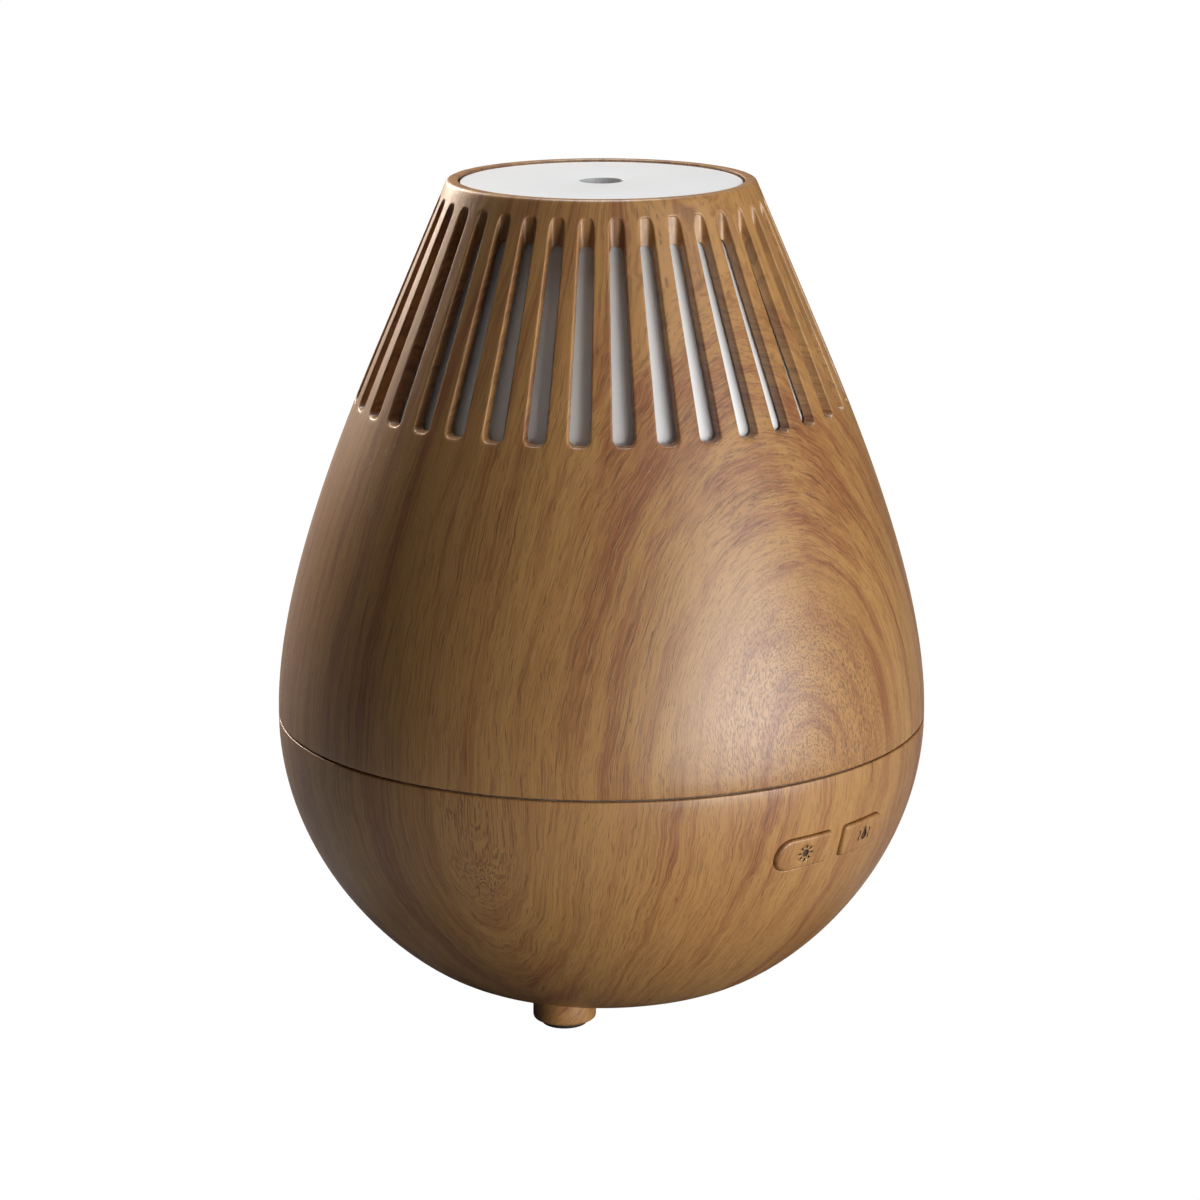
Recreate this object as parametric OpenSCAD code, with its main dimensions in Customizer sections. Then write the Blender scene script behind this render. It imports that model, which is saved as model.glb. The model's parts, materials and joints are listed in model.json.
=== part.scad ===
// Ultrasonic cool mist humidifier: a lift-off slotted cover over a round base with a water tank.
// Frame: millimetres, origin on the table under the middle of the body, +Z up, buttons face -Y.
// Angles round the body are counted from the front (-Y), positive towards +X.

/* [Body] */
// Widest diameter of the body, at the seam
body_d = 125; // [120:1:155]
// Height from the table to the top rim
body_h = 158; // [150:1:195]
// Height of the seam between the base and the cover
seam_h = 55.2; // [54:0.1:66]
// Outer diameter of the top rim
top_d = 58; // [54:0.5:66]
// Length of the straight cone below the top rim, measured down
cone_length = 26.7; // [20:0.1:32]
// Tilt of the straight cone from upright
cone_tilt = 23.2; // [20:0.1:26]
// Pull of the cover's curve up from the seam
cover_belly = 24.5; // [15:0.1:30]
// Pull of the cover's curve down from the cone
cover_shoulder = 22; // [12:0.1:26]
// Pull of the base's curve down from the seam
base_belly = 30.5; // [20:0.1:36]
// Radius of the flat underside of the base
underside_r = 29; // [28:0.1:31]
// Height of the flat underside above the table
underside_lift = 3.9; // [3:0.1:6]
// Pull of the base's curve out from the underside
underside_pull = 7.3; // [4:0.1:12]
// Wall thickness of the cover
cover_wall = 2; // [1.6:0.1:2.6]
// Wall thickness of the base
base_wall = 2.6; // [2.2:0.1:3]
// Height of the dark groove between the base and the cover
seam_gap = 0.35; // [0.2:0.05:0.6]

/* [Slots] */
// Number of light slots round the cover
slot_count = 36; // [24:1:40]
// Angle that one slot takes up
slot_angle = 5; // [3:0.1:6]
// Height of the slots' lower ends below the top rim
slot_drop = 41.8; // [25:0.1:46]
// Radius of the upright inner wall that ends each slot at the top
slot_inner_r = 30.35; // [30:0.05:31]

/* [Top] */
// Gap round the white top disc
disc_gap = 0.22; // [0.2:0.01:0.6]
// Thickness of the top disc
disc_thick = 2; // [1.6:0.1:3]
// How far the disc lies below the rim
disc_sink = 0.4; // [0:0.1:1]
// Diameter of the mist outlet
mist_hole_d = 8.3; // [6:0.1:10]
// Width of the ledge that carries the disc
ledge_width = 4.2; // [3:0.1:5]
// Thickness of the ledge
ledge_thick = 1.9; // [1.5:0.1:3]

/* [Light diffuser] */
// Gap between the cover and the diffuser
diffuser_gap = 0.6; // [0.4:0.1:1.5]
// Wall thickness of the diffuser
diffuser_wall = 1.6; // [1.2:0.1:2.4]
// Length of the diffuser below its top flange
diffuser_length = 45; // [43:1:52]
// Inner radius of the diffuser's top flange
diffuser_flange_r = 18.5; // [17:0.1:19]
// Thickness of the diffuser's top flange
diffuser_flange_thick = 2; // [1.5:0.1:3]

/* [Mist funnel] */
// Outer radius of the funnel's tube
funnel_tube_r = 6.6; // [6:0.1:8]
// Outer radius of the funnel's mouth
funnel_mouth_r = 30; // [24:0.5:34]
// Wall thickness of the funnel
funnel_wall = 1.4; // [1.2:0.1:2]
// Length of the whole funnel
funnel_length = 60; // [50:1:64]
// Length of the funnel's straight tube
funnel_tube_length = 22; // [15:1:30]

/* [Feet] */
// Number of feet
foot_count = 3; // [3:1:3]
// Radius of the circle that the feet stand on
foot_circle_r = 27.2; // [26:0.1:29]
// Diameter of a foot
foot_d = 12; // [11:0.5:13]
// Diameter of a rubber pad
pad_d = 8.8; // [8:0.1:9.4]
// Height of the pad that shows under the foot
pad_show = 1.1; // [0.8:0.1:1.6]
// Depth of the pad's recess in the foot
pad_recess = 0.8; // [0.5:0.1:1]
// Height of the solid web over the screw's head
screw_web = 1.5; // [1.2:0.1:2.5]

/* [Buttons] */
// Height of a button's middle below the seam
button_drop = 13.9; // [13:0.1:15]
// Height of a button's face
button_h = 6.2; // [5:0.1:6.4]
// Distance from the middle line to a button's near end
button_near_x = 1.75; // [1.7:0.05:2]
// Distance from the middle line to a button's far end
button_far_x = 14.4; // [13:0.1:14.6]
// Corner radius at a button's near end
button_corner_r = 0.8; // [0.5:0.1:1.2]
// How far a button's face stands out of the base's surface
button_rise = 0.7; // [0.6:0.1:1]
// Clearance round a button
button_gap = 0.2; // [0.15:0.05:0.3]
// How far the inner flange of a button reaches past its face
button_flange = 1.1; // [0.8:0.1:1.1]
// Thickness of a button's inner flange
button_flange_thick = 0.9; // [0.8:0.1:1.2]
// How far a button can be pressed
button_travel = 0.5; // [0.3:0.05:0.6]
// Depth of the pictogram in a button's face
pictogram_depth = 0.3; // [0.2:0.05:0.4]

/* [Water tank] */
// Space between the tank and the widest part of the body
tank_space = 12.7; // [12.5:0.1:15]
// Wall thickness of the tank
tank_wall = 2; // [1.6:0.1:2.4]
// Radius of the flat part of the tank's floor
tank_floor_r = 30; // [28:0.5:32]
// Height of the tank's underside above the fan
tank_over_fan = 7; // [6.8:0.1:9]
// Height over which the tank's wall curves up
tank_rise = 19; // [15:0.5:22]
// Thickness of the tank's flange
flange_thick = 1.8; // [1.5:0.1:2.4]
// Height of the ring that centres the cover
spigot_h = 5; // [3:0.5:7]
// Thickness of the ring that centres the cover
spigot_wall = 1.8; // [1.4:0.1:2.4]
// Thickness of the gasket under the flange
gasket_thick = 0.8; // [0.6:0.1:1.2]

/* [Air duct] */
// Distance from the middle to the air duct
duct_x = 34; // [33:0.5:36]
// Outer radius of the air duct
duct_r = 8.5; // [7.5:0.1:9]
// Wall thickness of the air duct
duct_wall = 1.5; // [1.2:0.1:2]
// Height of the duct's end above the seam
duct_rise = 1.8; // [1:0.1:4]

/* [Mist transducer] */
// Diameter of the transducer disc
transducer_d = 20; // [16:0.5:20]
// Thickness of the transducer disc
transducer_thick = 1.2; // [0.8:0.1:1.4]
// Radius of the hole that the disc faces the water through
well_r = 8; // [7:0.1:8.5]
// Thickness of the retainer's plate
retainer_thick = 1.8; // [1.5:0.1:2.2]
// Distance from the middle to the retainer's screws
retainer_screw_r = 15.5; // [15:0.1:16]

/* [Fan] */
// Side of the square fan frame
fan_side = 40; // [40:0.5:40]
// Depth of the fan
fan_depth = 10; // [10:0.5:10]
// Distance between the fan's screw holes
fan_holes = 32; // [32:0.5:32]
// Radius of the fan's air passage
fan_bore_r = 19.2; // [18.5:0.1:19.2]
// Number of fan blades
blade_count = 7; // [5:1:9]
// Tilt of a fan blade
blade_tilt = 38; // [30:1:45]
// Radius of the rotor's hub
hub_r = 9.6; // [9:0.1:11]
// Radius of the fan's shaft
shaft_r = 1; // [0.8:0.05:1.5]
// Radial running clearance of the shaft in its bearing
shaft_clearance = 0.03; // [0.02:0.01:0.06]
// Height of the bosses that carry the fan
fan_boss_h = 2.4; // [2:0.1:3]

/* [Intake grille] */
// Radius of the hole in the underside
grille_hole_r = 18; // [16:0.1:18]
// Width of one grille slot
grille_slot = 2.2; // [1.6:0.1:2.4]
// Distance between grille slots
grille_pitch = 4; // [3.8:0.1:5]

/* [Electronics] */
// Thickness of the circuit boards
board_thick = 1.6; // [1.2:0.1:1.6]
// Outer radius of the main board
board_r = 38; // [36:0.5:38]
// Inner radius of the main board
board_hole_r = 20; // [19.5:0.1:20.5]
// Gap between the fan and the main board
board_over_fan = 1.8; // [1.7:0.1:2.4]
// Distance from the middle to the main board's screws
board_screw_r = 33; // [32:0.5:33]
// Side of one light chip
led_side = 5; // [3:0.5:5]
// Height of one light chip
led_h = 1.6; // [1:0.1:2]
// Distance from the middle to the light chips
led_circle_r = 30; // [29:0.5:31]
// Radius of the insulated wires
wire_r = 0.5; // [0.4:0.05:0.6]
// Side of a push switch's housing
switch_side = 4.5; // [4:0.5:5]
// Depth of a push switch's housing
switch_depth = 1.9; // [1.6:0.1:2.2]

/* [Power jack] */
// Radius of the jack's barrel
jack_r = 3.9; // [3.5:0.1:4]
// Radius of the socket in the barrel
socket_r = 2.9; // [2.7:0.1:3.1]
// Radius of the contact pin
jack_pin_r = 1; // [0.8:0.05:1.25]
// Radius of the recess round the jack
jack_recess_r = 5.5; // [5:0.1:6]
// Depth of the recess below the base's surface
jack_depth = 6.2; // [5:0.1:7]

/* [Hidden] */
$fn = 96;

// Colours
wood_tone = [0.72, 0.46, 0.27];
white_tone = [0.93, 0.94, 0.95];
milky_tone = [0.90, 0.91, 0.92];
rubber_tone = [0.06, 0.06, 0.06];
board_tone = [0.08, 0.33, 0.17];
steel_tone = [0.72, 0.73, 0.75];
black_tone = [0.10, 0.10, 0.11];
brass_tone = [0.80, 0.65, 0.33];
copper_tone = [0.74, 0.42, 0.25];

// Overlap given to solids that are joined, and overshoot of cuts
bite = 0.5;
cut = 1;

// Main radii and the two outline curves; the underside rises a little towards its edge
underside_rise = 0.5;
body_r = body_d / 2;
top_r = top_d / 2;
base_top = seam_h - seam_gap / 2;
cover_foot = seam_h + seam_gap / 2;
cone_z = body_h - cone_length;
cone_r = top_r + cone_length * tan(cone_tilt);
curve_steps = 20;
base_curve = [[underside_r, underside_lift], [underside_r + underside_pull, underside_lift + underside_rise],
    [body_r, base_top - base_belly], [body_r, base_top]];
cover_curve = [[body_r, cover_foot], [body_r, cover_foot + cover_belly],
    [cone_r + cover_shoulder * sin(cone_tilt), cone_z - cover_shoulder * cos(cone_tilt)],
    [cone_r, cone_z]];

// Base floor, fan, board and tank heights
floor_z = underside_lift + base_wall;
fan_z = floor_z + fan_boss_h - bite;
fan_top = fan_z + fan_depth;
board_z = fan_top + board_over_fan;
board_top = board_z + board_thick;
tank_z = fan_top + tank_over_fan;
tank_floor = tank_z + tank_wall;
tank_r = body_r - tank_space;
tank_curve = [[tank_floor_r, tank_z], [tank_floor_r + 0.7 * (tank_r - tank_floor_r), tank_z],
    [tank_r, tank_z + tank_rise / 4], [tank_r, tank_z + tank_rise]];

// Rim: the flange and gasket sit in a rebate inside the base's upper edge
rim_skin = 1.3;
slip = 0.1;
rebate_r = body_r - rim_skin;
seat_gap = 0.1;
flange_top = cover_foot - seat_gap;
flange_z = flange_top - flange_thick;
rebate_z = flange_z - gasket_thick;
spigot_gap = 0.4;
spigot_top = flange_top + spigot_h;

// Top: the disc lies on a ledge and is clamped to the diffuser's flange
disc_r = top_r - cover_wall / cos(cone_tilt) - disc_gap;
disc_top = body_h - disc_sink;
disc_z = disc_top - disc_thick;
ledge_top = disc_z;
ledge_z = ledge_top - ledge_thick;
ledge_r = disc_r - ledge_width + 2;
cover_screw_r = ledge_r - 3.6;
disc_boss_r = 2.4;
diffuser_z = ledge_z - diffuser_flange_thick;
funnel_top = disc_z;
funnel_z = funnel_top - funnel_length;
collar_h = 5;
collar_wall = 1.6;

// Slots
slot_foot = body_h - slot_drop;

// Feet and case screws
foot_turn = 60;
foot_step = 360 / foot_count;
screw_r = 1.2;
screw_pass_r = 1.7;
screw_head_r = 2.8;
screw_head_h = 2;
head_room_r = 3.2;
boss_top = floor_z + 0.6;
head_seat = boss_top - screw_web;
column_r = 3.4;
case_screw_tip = boss_top + 10;

// Fan details
fan_reach = fan_holes / 2;
fan_screw_r = 1.4;
fan_boss_r = 2.6;
small_head_h = 1.4;
small_head_r = 2.2;
spider_h = 1.5;
bearing_r = 2.2;
bearing_z = fan_z + spider_h;
bearing_top = fan_z + 7.4;
stator_r = 7;
magnet_r = 8.4;
magnet_wall = 0.9;
rotor_foot = fan_z + 2.6;
rotor_top = fan_top - 0.7;
hub_cap = 1;
blade_tip_r = fan_bore_r - 0.8;
blade_thick = 1;

// Buttons: their surface, flange, stem, plunger and switch stack up along Y
button_z = base_top - button_drop;
button_x = (button_near_x + button_far_x) / 2;
skin_r = skin_at(button_z);
flange_in = base_wall + 0.3;
flange_back = flange_in + button_flange_thick;
stem_r = 1.6;
stem_back_y = -sqrt(pow(skin_r - flange_back, 2) - pow(button_x, 2)) + 0.6;
stem_length = 1.8;
plunger_r = 1.2;
switch_clear = 1.2;
plunger_length = switch_clear + 1;
switch_front_y = stem_back_y + switch_clear;
switch_board_y = switch_front_y + switch_depth;
switch_board_back = switch_board_y + board_thick;
switch_board_top = button_z + 9.2;
switch_board_foot = button_z - 4.3;
switch_tab_foot = button_z - 8.4;
post_r = 2.2;
post_spots = [[-9, button_z + 7], [9, button_z + 7], [0, button_z - 6.4]];

// Transducer stack under the tank's floor
disc_lift = 0.9;
transducer_r = transducer_d / 2;
seal_r = transducer_r + 1.6;
seal_h = transducer_thick + 2;
seal_z = tank_z - seal_h;
retainer_z = seal_z - retainer_thick;
retainer_r = seal_r + 1.9;
retainer_ear_r = 3;

// Main board
jack_notch = 14;
duct_hole_r = duct_r + 1;
led_angles = [-150, -90, -30, 30, 150];
connector = [5, 4, 2.8];
plug_in = 0.4;
connector_spots = [[0, 24.5], [-75, 24.5], [-163, 34.5], [12, 35]];

// Power jack
jack_z = tank_z - 5;
jack_web = 2;
jack_body = [9, 8.5, 9];
jack_nut_thick = 1.5;
jack_wall = 1.3;
jack_face_y = skin_at(jack_z) - jack_depth;
jack_back_y = jack_face_y - jack_web - jack_nut_thick;
lead_end_y = 33.7;
lead_bend_y = -skin_at(tank_z) + base_wall + 2.1;

// ---- Outline helpers ----

function bezier(p, t) = pow(1 - t, 3) * p[0] + 3 * t * pow(1 - t, 2) * p[1]
    + 3 * t * t * (1 - t) * p[2] + pow(t, 3) * p[3];

function heading(p, t) = let (d = pow(1 - t, 2) * (p[1] - p[0]) + 2 * t * (1 - t) * (p[2] - p[1])
    + t * t * (p[3] - p[2])) d / norm(d);

// Points along a curve, moved to its left by inset, from share first to its end
function inset_path(p, inset, first = 0, steps = curve_steps) =
    [for (i = [0:steps]) let (t = first + (1 - first) * i / steps, u = heading(p, t))
        bezier(p, t) + inset * [-u[1], u[0]]];

// Radius of the base's surface at a height
function skin_at(z) = lookup(z, [for (p = base_path(0)) [p[1], p[0]]]);

function reversed(v) = [for (i = [len(v) - 1:-1:0]) v[i]];

function base_path(inset, first = 0) = inset_path(base_curve, inset, first);

// The cover's outline runs on up the straight cone to the top rim
function cover_path(inset) = concat(inset_path(cover_curve, inset),
    [[top_r - inset / cos(cone_tilt), body_h]]);

function round_spot(angle, radius) = [radius * sin(angle), -radius * cos(angle)];

// Smooth route through a few points
function route_point(p, i, t) = let (a = p[max(i - 1, 0)], b = p[i], c = p[i + 1],
    d = p[min(i + 2, len(p) - 1)])
    b + t * (c - a) / 2 + t * t * (2 * a - 5 * b + 4 * c - d) / 2
    + t * t * t * (3 * b - a - 3 * c + d) / 2;

function route(p, steps = 4) = concat([for (i = [0:len(p) - 2]) for (k = [0:steps - 1])
    route_point(p, i, k / steps)], [p[len(p) - 1]]);

// ---- Shape helpers ----

// Part of the shell between two depths below the base's surface
module base_band(outer, inner, first = 0) {
    rotate_extrude()
        polygon(concat(base_path(outer, first), reversed(base_path(inner, first))));
}

// Flat ring
module ring(outer, inner, low, high) {
    translate([0, 0, low])
        difference() {
            cylinder(r = outer, h = high - low);
            translate([0, 0, -cut])
                cylinder(r = inner, h = high - low + 2 * cut);
        }
}

// Upright round bar
module bar(spot, radius, low, high) {
    translate([spot[0], spot[1], low])
        cylinder(r = radius, h = high - low);
}

// Round bar along Y
module lying_bar(x, z, radius, front, back) {
    translate([x, back, z])
        rotate([90, 0, 0])
            cylinder(r = radius, h = back - front);
}

// Screw with a round head and a cross recess; its head's top is at high when up is true
module screw(spot, radius, head_r, head_h, head_z, tip_z) {
    difference() {
        union() {
            bar(spot, head_r, min(head_z, head_z + head_h), max(head_z, head_z + head_h));
            bar(spot, radius, min(head_z, tip_z), max(head_z, tip_z));
        }
        translate([spot[0], spot[1], head_z + head_h])
            for (turn = [0, 90])
                rotate(turn)
                    cube([head_r, head_r / 4, abs(head_h)], center = true);
    }
}

// Tube along a smooth route; the reference keeps its section from twisting
module tube(points, radius, ref, sides = 8) {
    way = route(points);
    last = len(way) - 1;
    rings = [for (i = [0:last]) let (d = way[min(i + 1, last)] - way[max(i - 1, 0)],
        side = cross(d, ref), u = side / norm(side), w = cross(d, u), v = w / norm(w))
        for (k = [0:sides - 1]) let (turn = 360 * k / sides)
            way[i] + radius * (cos(turn) * u + sin(turn) * v)];
    polyhedron(rings, concat([[for (k = [0:sides - 1]) k]],
        [for (i = [0:last - 1]) for (k = [0:sides - 1]) let (here = i * sides,
            next = here + sides, n = (k + 1) % sides)
            each [[here + k, next + k, next + n], [here + k, next + n, here + n]]],
        [[for (k = [sides - 1:-1:0]) last * sides + k]]));
}

// Two wires side by side
module wire_pair(points, ref, spread) {
    for (side = [-1, 1])
        tube([for (p = points) p + side * spread], wire_r, ref);
}

// Outline of one button, round at its far end, seen from the front
module button_outline(grow) {
    half = button_h / 2 + grow;
    near = button_near_x - grow;
    far = button_far_x + grow;
    corner = button_corner_r + grow;
    translate([far - half, 0])
        circle(r = half);
    translate([near + corner, -half])
        square([far - half - near - corner, 2 * half]);
    translate([near, corner - half])
        square([corner * 2, 2 * (half - corner)]);
    for (side = [-1, 1])
        translate([near + corner, side * (half - corner)])
            circle(r = corner);
}

// The same outline as a bar through the front wall
module button_bar(grow, side) {
    mirror([side < 0 ? 1 : 0, 0, 0])
        translate([0, 0, button_z])
            rotate([90, 0, 0])
                linear_extrude(body_r + cut)
                    button_outline(grow);
}

// Sun pictogram
module sun_mark() {
    circle(r = 0.62);
    for (turn = [0:45:315])
        rotate(turn)
            translate([0.95, -0.13])
                square([0.5, 0.26]);
}

// Drop pictogram with two small waves of mist
module drop_mark() {
    circle(r = 0.72);
    polygon([[-0.66, 0.28], [0.66, 0.28], [0, 1.5]]);
    for (side = [-1, 1])
        translate([side * 1.35 - 0.14, -0.7])
            square([0.28, 1.5]);
}

// One button: face, inner flange and stem
module button_cap(side) {
    difference() {
        union() {
            intersection() {
                button_bar(0, side);
                base_band(-button_rise, flange_in + 0.2, 0.5);
            }
            intersection() {
                button_bar(button_flange, side);
                base_band(flange_in, flange_back, 0.5);
            }
            lying_bar(side * button_x, button_z, stem_r, stem_back_y - stem_length, stem_back_y);
        }
        intersection() {
            translate([side * button_x, 0, button_z])
                rotate([90, 0, 0])
                    linear_extrude(body_r)
                        children();
            base_band(-button_rise - cut, pictogram_depth - button_rise, 0.5);
        }
    }
}

module switch_plunger(side) {
    lying_bar(side * button_x, button_z, plunger_r, stem_back_y, stem_back_y + plunger_length);
}

// ---- Base ----

module base_bowl() {
    color(wood_tone)
    difference() {
        union() {
            rotate_extrude()
                polygon(concat([[grille_hole_r, underside_lift]], base_path(0),
                    [[rebate_r, base_top], [rebate_r, rebate_z], [body_r - base_wall, rebate_z]],
                    [for (p = reversed(base_path(base_wall))) if (p[1] < rebate_z) p],
                    [[grille_hole_r, floor_z]]));
            for (k = [0:foot_count - 1])
                bar(round_spot(foot_turn + k * foot_step, foot_circle_r), foot_d / 2, pad_show,
                    boss_top);
            for (x = [-1, 1], y = [-1, 1])
                bar([x * fan_reach, y * fan_reach], fan_boss_r, floor_z - bite, fan_z);
            intersection() {
                union() {
                    for (spot = post_spots)
                        lying_bar(spot[0], spot[1], post_r, -body_r, switch_board_y);
                    lying_bar(0, jack_z, jack_recess_r + jack_wall, jack_face_y - jack_web, body_r);
                }
                rotate_extrude()
                    polygon(concat([[0, floor_z]], base_path(base_wall / 2), [[0, base_top]]));
            }
        }
        for (x = [-1, 1])
            button_bar(button_gap, x);
        for (k = [0:foot_count - 1]) {
            spot = round_spot(foot_turn + k * foot_step, foot_circle_r);
            bar(spot, pad_d / 2 + slip, pad_show - cut, pad_show + pad_recess);
            bar(spot, head_room_r, pad_show, head_seat);
            bar(spot, screw_pass_r, pad_show, boss_top + cut);
        }
        for (x = [-1, 1], y = [-1, 1])
            bar([x * fan_reach, y * fan_reach], fan_screw_r, underside_lift + 1, fan_z + cut);
        for (spot = post_spots)
            lying_bar(spot[0], spot[1], screw_r, switch_board_y - 4, switch_board_y + cut);
        lying_bar(0, jack_z, jack_recess_r, jack_face_y, body_r + cut);
        lying_bar(0, jack_z, jack_r + slip, jack_face_y - jack_web - cut, jack_face_y + cut);
    }
}

module foot_pads() {
    color(rubber_tone)
        for (k = [0:foot_count - 1])
            bar(round_spot(foot_turn + k * foot_step, foot_circle_r), pad_d / 2, 0,
                pad_show + pad_recess);
}

module case_screws() {
    color(steel_tone)
        for (k = [0:foot_count - 1])
            screw(round_spot(foot_turn + k * foot_step, foot_circle_r), screw_r, screw_head_r,
                -screw_head_h, head_seat, case_screw_tip);
}

module intake_grille() {
    grille_r = grille_hole_r - slip;
    clamp_r = grille_hole_r + 1.6;
    color(black_tone)
    union() {
        difference() {
            translate([0, 0, underside_lift + 0.3])
                cylinder(r = grille_r, h = base_wall - 0.3);
            for (i = [-3:3])
                let (half = sqrt(pow(grille_r - 2.2, 2) - pow(i * grille_pitch, 2)))
                    translate([-half, i * grille_pitch - grille_slot / 2, underside_lift - cut])
                        cube([2 * half, grille_slot, base_wall + 2 * cut]);
        }
        ring(clamp_r, grille_hole_r - 1.4, floor_z, fan_z);
    }
}

// ---- Fan ----

module fan_frame() {
    corner_r = 4;
    half = fan_side / 2;
    color(black_tone)
    union() {
        difference() {
            translate([0, 0, fan_z])
                union() {
                    translate([-half, corner_r - half, 0])
                        cube([fan_side, fan_side - 2 * corner_r, fan_depth]);
                    translate([corner_r - half, -half, 0])
                        cube([fan_side - 2 * corner_r, fan_side, fan_depth]);
                    for (x = [-1, 1], y = [-1, 1])
                        translate([x * (half - corner_r), y * (half - corner_r), 0])
                            cylinder(r = corner_r, h = fan_depth);
                }
            translate([0, 0, fan_z - cut])
                cylinder(r = fan_bore_r, h = fan_depth + 2 * cut);
            for (x = [-1, 1], y = [-1, 1])
                bar([x * fan_reach, y * fan_reach], fan_screw_r + 0.2, fan_z - cut, fan_top + cut);
        }
        difference() {
            union() {
                for (turn = [30, 150, 270])
                    rotate(turn)
                        translate([stator_r, -1, fan_z])
                            cube([fan_bore_r - stator_r + bite, 2, spider_h]);
                bar([0, 0], magnet_r, fan_z, fan_z + spider_h);
                bar([0, 0], bearing_r + 0.9, fan_z, bearing_top - bite);
            }
            bar([0, 0], bearing_r, fan_z + 0.5, fan_top);
        }
    }
}

module fan_screws() {
    color(steel_tone)
        for (x = [-1, 1], y = [-1, 1])
            screw([x * fan_reach, y * fan_reach], fan_screw_r, small_head_r, small_head_h, fan_top,
                underside_lift + 1.5);
}

module fan_bearing() {
    color(brass_tone)
        ring(bearing_r, shaft_r + shaft_clearance, bearing_z, bearing_top);
}

// Wound coil of the fan's motor: four toothed poles round a core
module fan_stator() {
    inner = bearing_r + 0.9;
    low = bearing_z + 1;
    high = bearing_top - 1;
    color(copper_tone)
    union() {
        ring(inner + 1.4, inner, low, high);
        for (turn = [0:90:270])
            rotate(turn) {
                translate([inner + 1, -1, low + 0.4])
                    cube([stator_r - inner - 1.6, 2, high - low - 0.8]);
                intersection() {
                    ring(stator_r, stator_r - 0.9, low, high);
                    translate([0, -3.4, low])
                        cube([stator_r + cut, 6.8, high - low]);
                }
                translate([inner + 1.5, -1.6, low + 0.2])
                    cube([1.4, 3.2, high - low - 0.4]);
            }
    }
}

module fan_impeller() {
    skirt = hub_r - magnet_r;
    reach = blade_tip_r - hub_r;
    middle = (rotor_foot + rotor_top) / 2;
    blade_width = (rotor_top - rotor_foot - blade_thick * cos(blade_tilt)) / sin(blade_tilt);
    color(black_tone)
    difference() {
        union() {
            bar([0, 0], hub_r, rotor_foot, rotor_top);
            intersection() {
                for (k = [0:blade_count - 1])
                    rotate(k * 360 / blade_count)
                        translate([hub_r - skirt / 2, 0, middle])
                            rotate([90 - blade_tilt, 0, 0])
                                translate([0, -blade_thick / 2, -blade_width / 2])
                                    cube([reach + 2, blade_thick, blade_width]);
                bar([0, 0], blade_tip_r, rotor_foot, rotor_top);
            }
        }
        bar([0, 0], magnet_r, rotor_foot - cut, rotor_top - hub_cap);
        bar([0, 0], shaft_r, rotor_foot, rotor_top + cut);
    }
}

module fan_magnet() {
    color(steel_tone)
        ring(magnet_r, magnet_r - magnet_wall, rotor_foot, rotor_top - hub_cap);
}

module fan_shaft() {
    color(steel_tone)
        bar([0, 0], shaft_r, bearing_z + 0.5, rotor_top);
}

// ---- Electronics under the tank ----

module main_board() {
    color(board_tone)
    difference() {
        ring(board_r, board_hole_r, board_z, board_top);
        translate([-jack_notch / 2, 0, board_z - cut])
            cube([jack_notch, board_r + cut, board_thick + 2 * cut]);
        bar([duct_x, 0], duct_hole_r, board_z - cut, board_top + cut);
        for (k = [0:foot_count - 1])
            bar(round_spot(foot_turn + k * foot_step, foot_circle_r), column_r + 0.4,
                board_z - cut, board_top + cut);
        for (k = [0:2])
            bar(round_spot(k * 120, board_screw_r), screw_r, board_z - cut, board_top + cut);
    }
}

module board_screws() {
    color(steel_tone)
        for (k = [0:2])
            screw(round_spot(k * 120, board_screw_r), screw_r, small_head_r, -small_head_h,
                board_z, board_top + 2.6);
}

module capacitors() {
    color(black_tone)
        for (spot = [[9, -30], [17.5, -27]])
            difference() {
                bar(spot, 3.5, board_z - 8, board_z);
                translate([0, 0, board_z - 7])
                    translate(spot)
                        difference() {
                            cylinder(r = 3.5 + cut, h = 0.5);
                            translate([0, 0, -cut])
                                cylinder(r = 3.2, h = 0.5 + 2 * cut);
                        }
            }
}

module driver_coil() {
    color(copper_tone)
    union() {
        bar([-9, -30], 4.5, board_z - 1.2, board_z);
        bar([-9, -30], 4.5, board_z - 6, board_z - 5);
        bar([-9, -30], 3.8, board_z - 5, board_z - 1.2);
    }
}

module driver_transistor() {
    color(black_tone)
        translate([-29.6, -5, board_z - 9])
            cube([3.6, 10, 9]);
}

module heat_sink() {
    color(steel_tone)
    union() {
        translate([-31, -6, board_z - 9])
            cube([1.4, 12, 9]);
        for (i = [0:4])
            translate([-35, -6 + i * 2.75, board_z - 9])
                cube([4 + bite, 1, 9]);
    }
}

module control_chip() {
    color(black_tone)
        rotate(-45)
            translate([-3, -led_circle_r - 3, board_top])
                union() {
                    cube([6, 6, 1.4]);
                    for (i = [0:4])
                        translate([-0.8, 0.5 + i * 1.15, 0])
                            cube([7.6, 0.4, 0.5]);
                }
}

module light_chips() {
    color(white_tone)
        for (angle = led_angles)
            rotate(angle)
                translate([-led_side / 2, -led_circle_r - led_side / 2, board_top])
                    cube([led_side, led_side, led_h]);
}

module wire_connectors() {
    color(milky_tone)
        for (spot = connector_spots)
            rotate(spot[0])
                translate([-connector[0] / 2, -spot[1] - connector[1] / 2, board_top])
                    cube(connector);
}

// ---- Mist transducer ----

module transducer_disc() {
    color(steel_tone)
        bar([0, 0], transducer_r, seal_z + disc_lift, seal_z + disc_lift + transducer_thick);
}

module transducer_seal() {
    color(rubber_tone)
    difference() {
        ring(seal_r, well_r, seal_z, tank_z);
        bar([0, 0], transducer_r, seal_z + disc_lift, seal_z + disc_lift + transducer_thick);
    }
}

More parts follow.
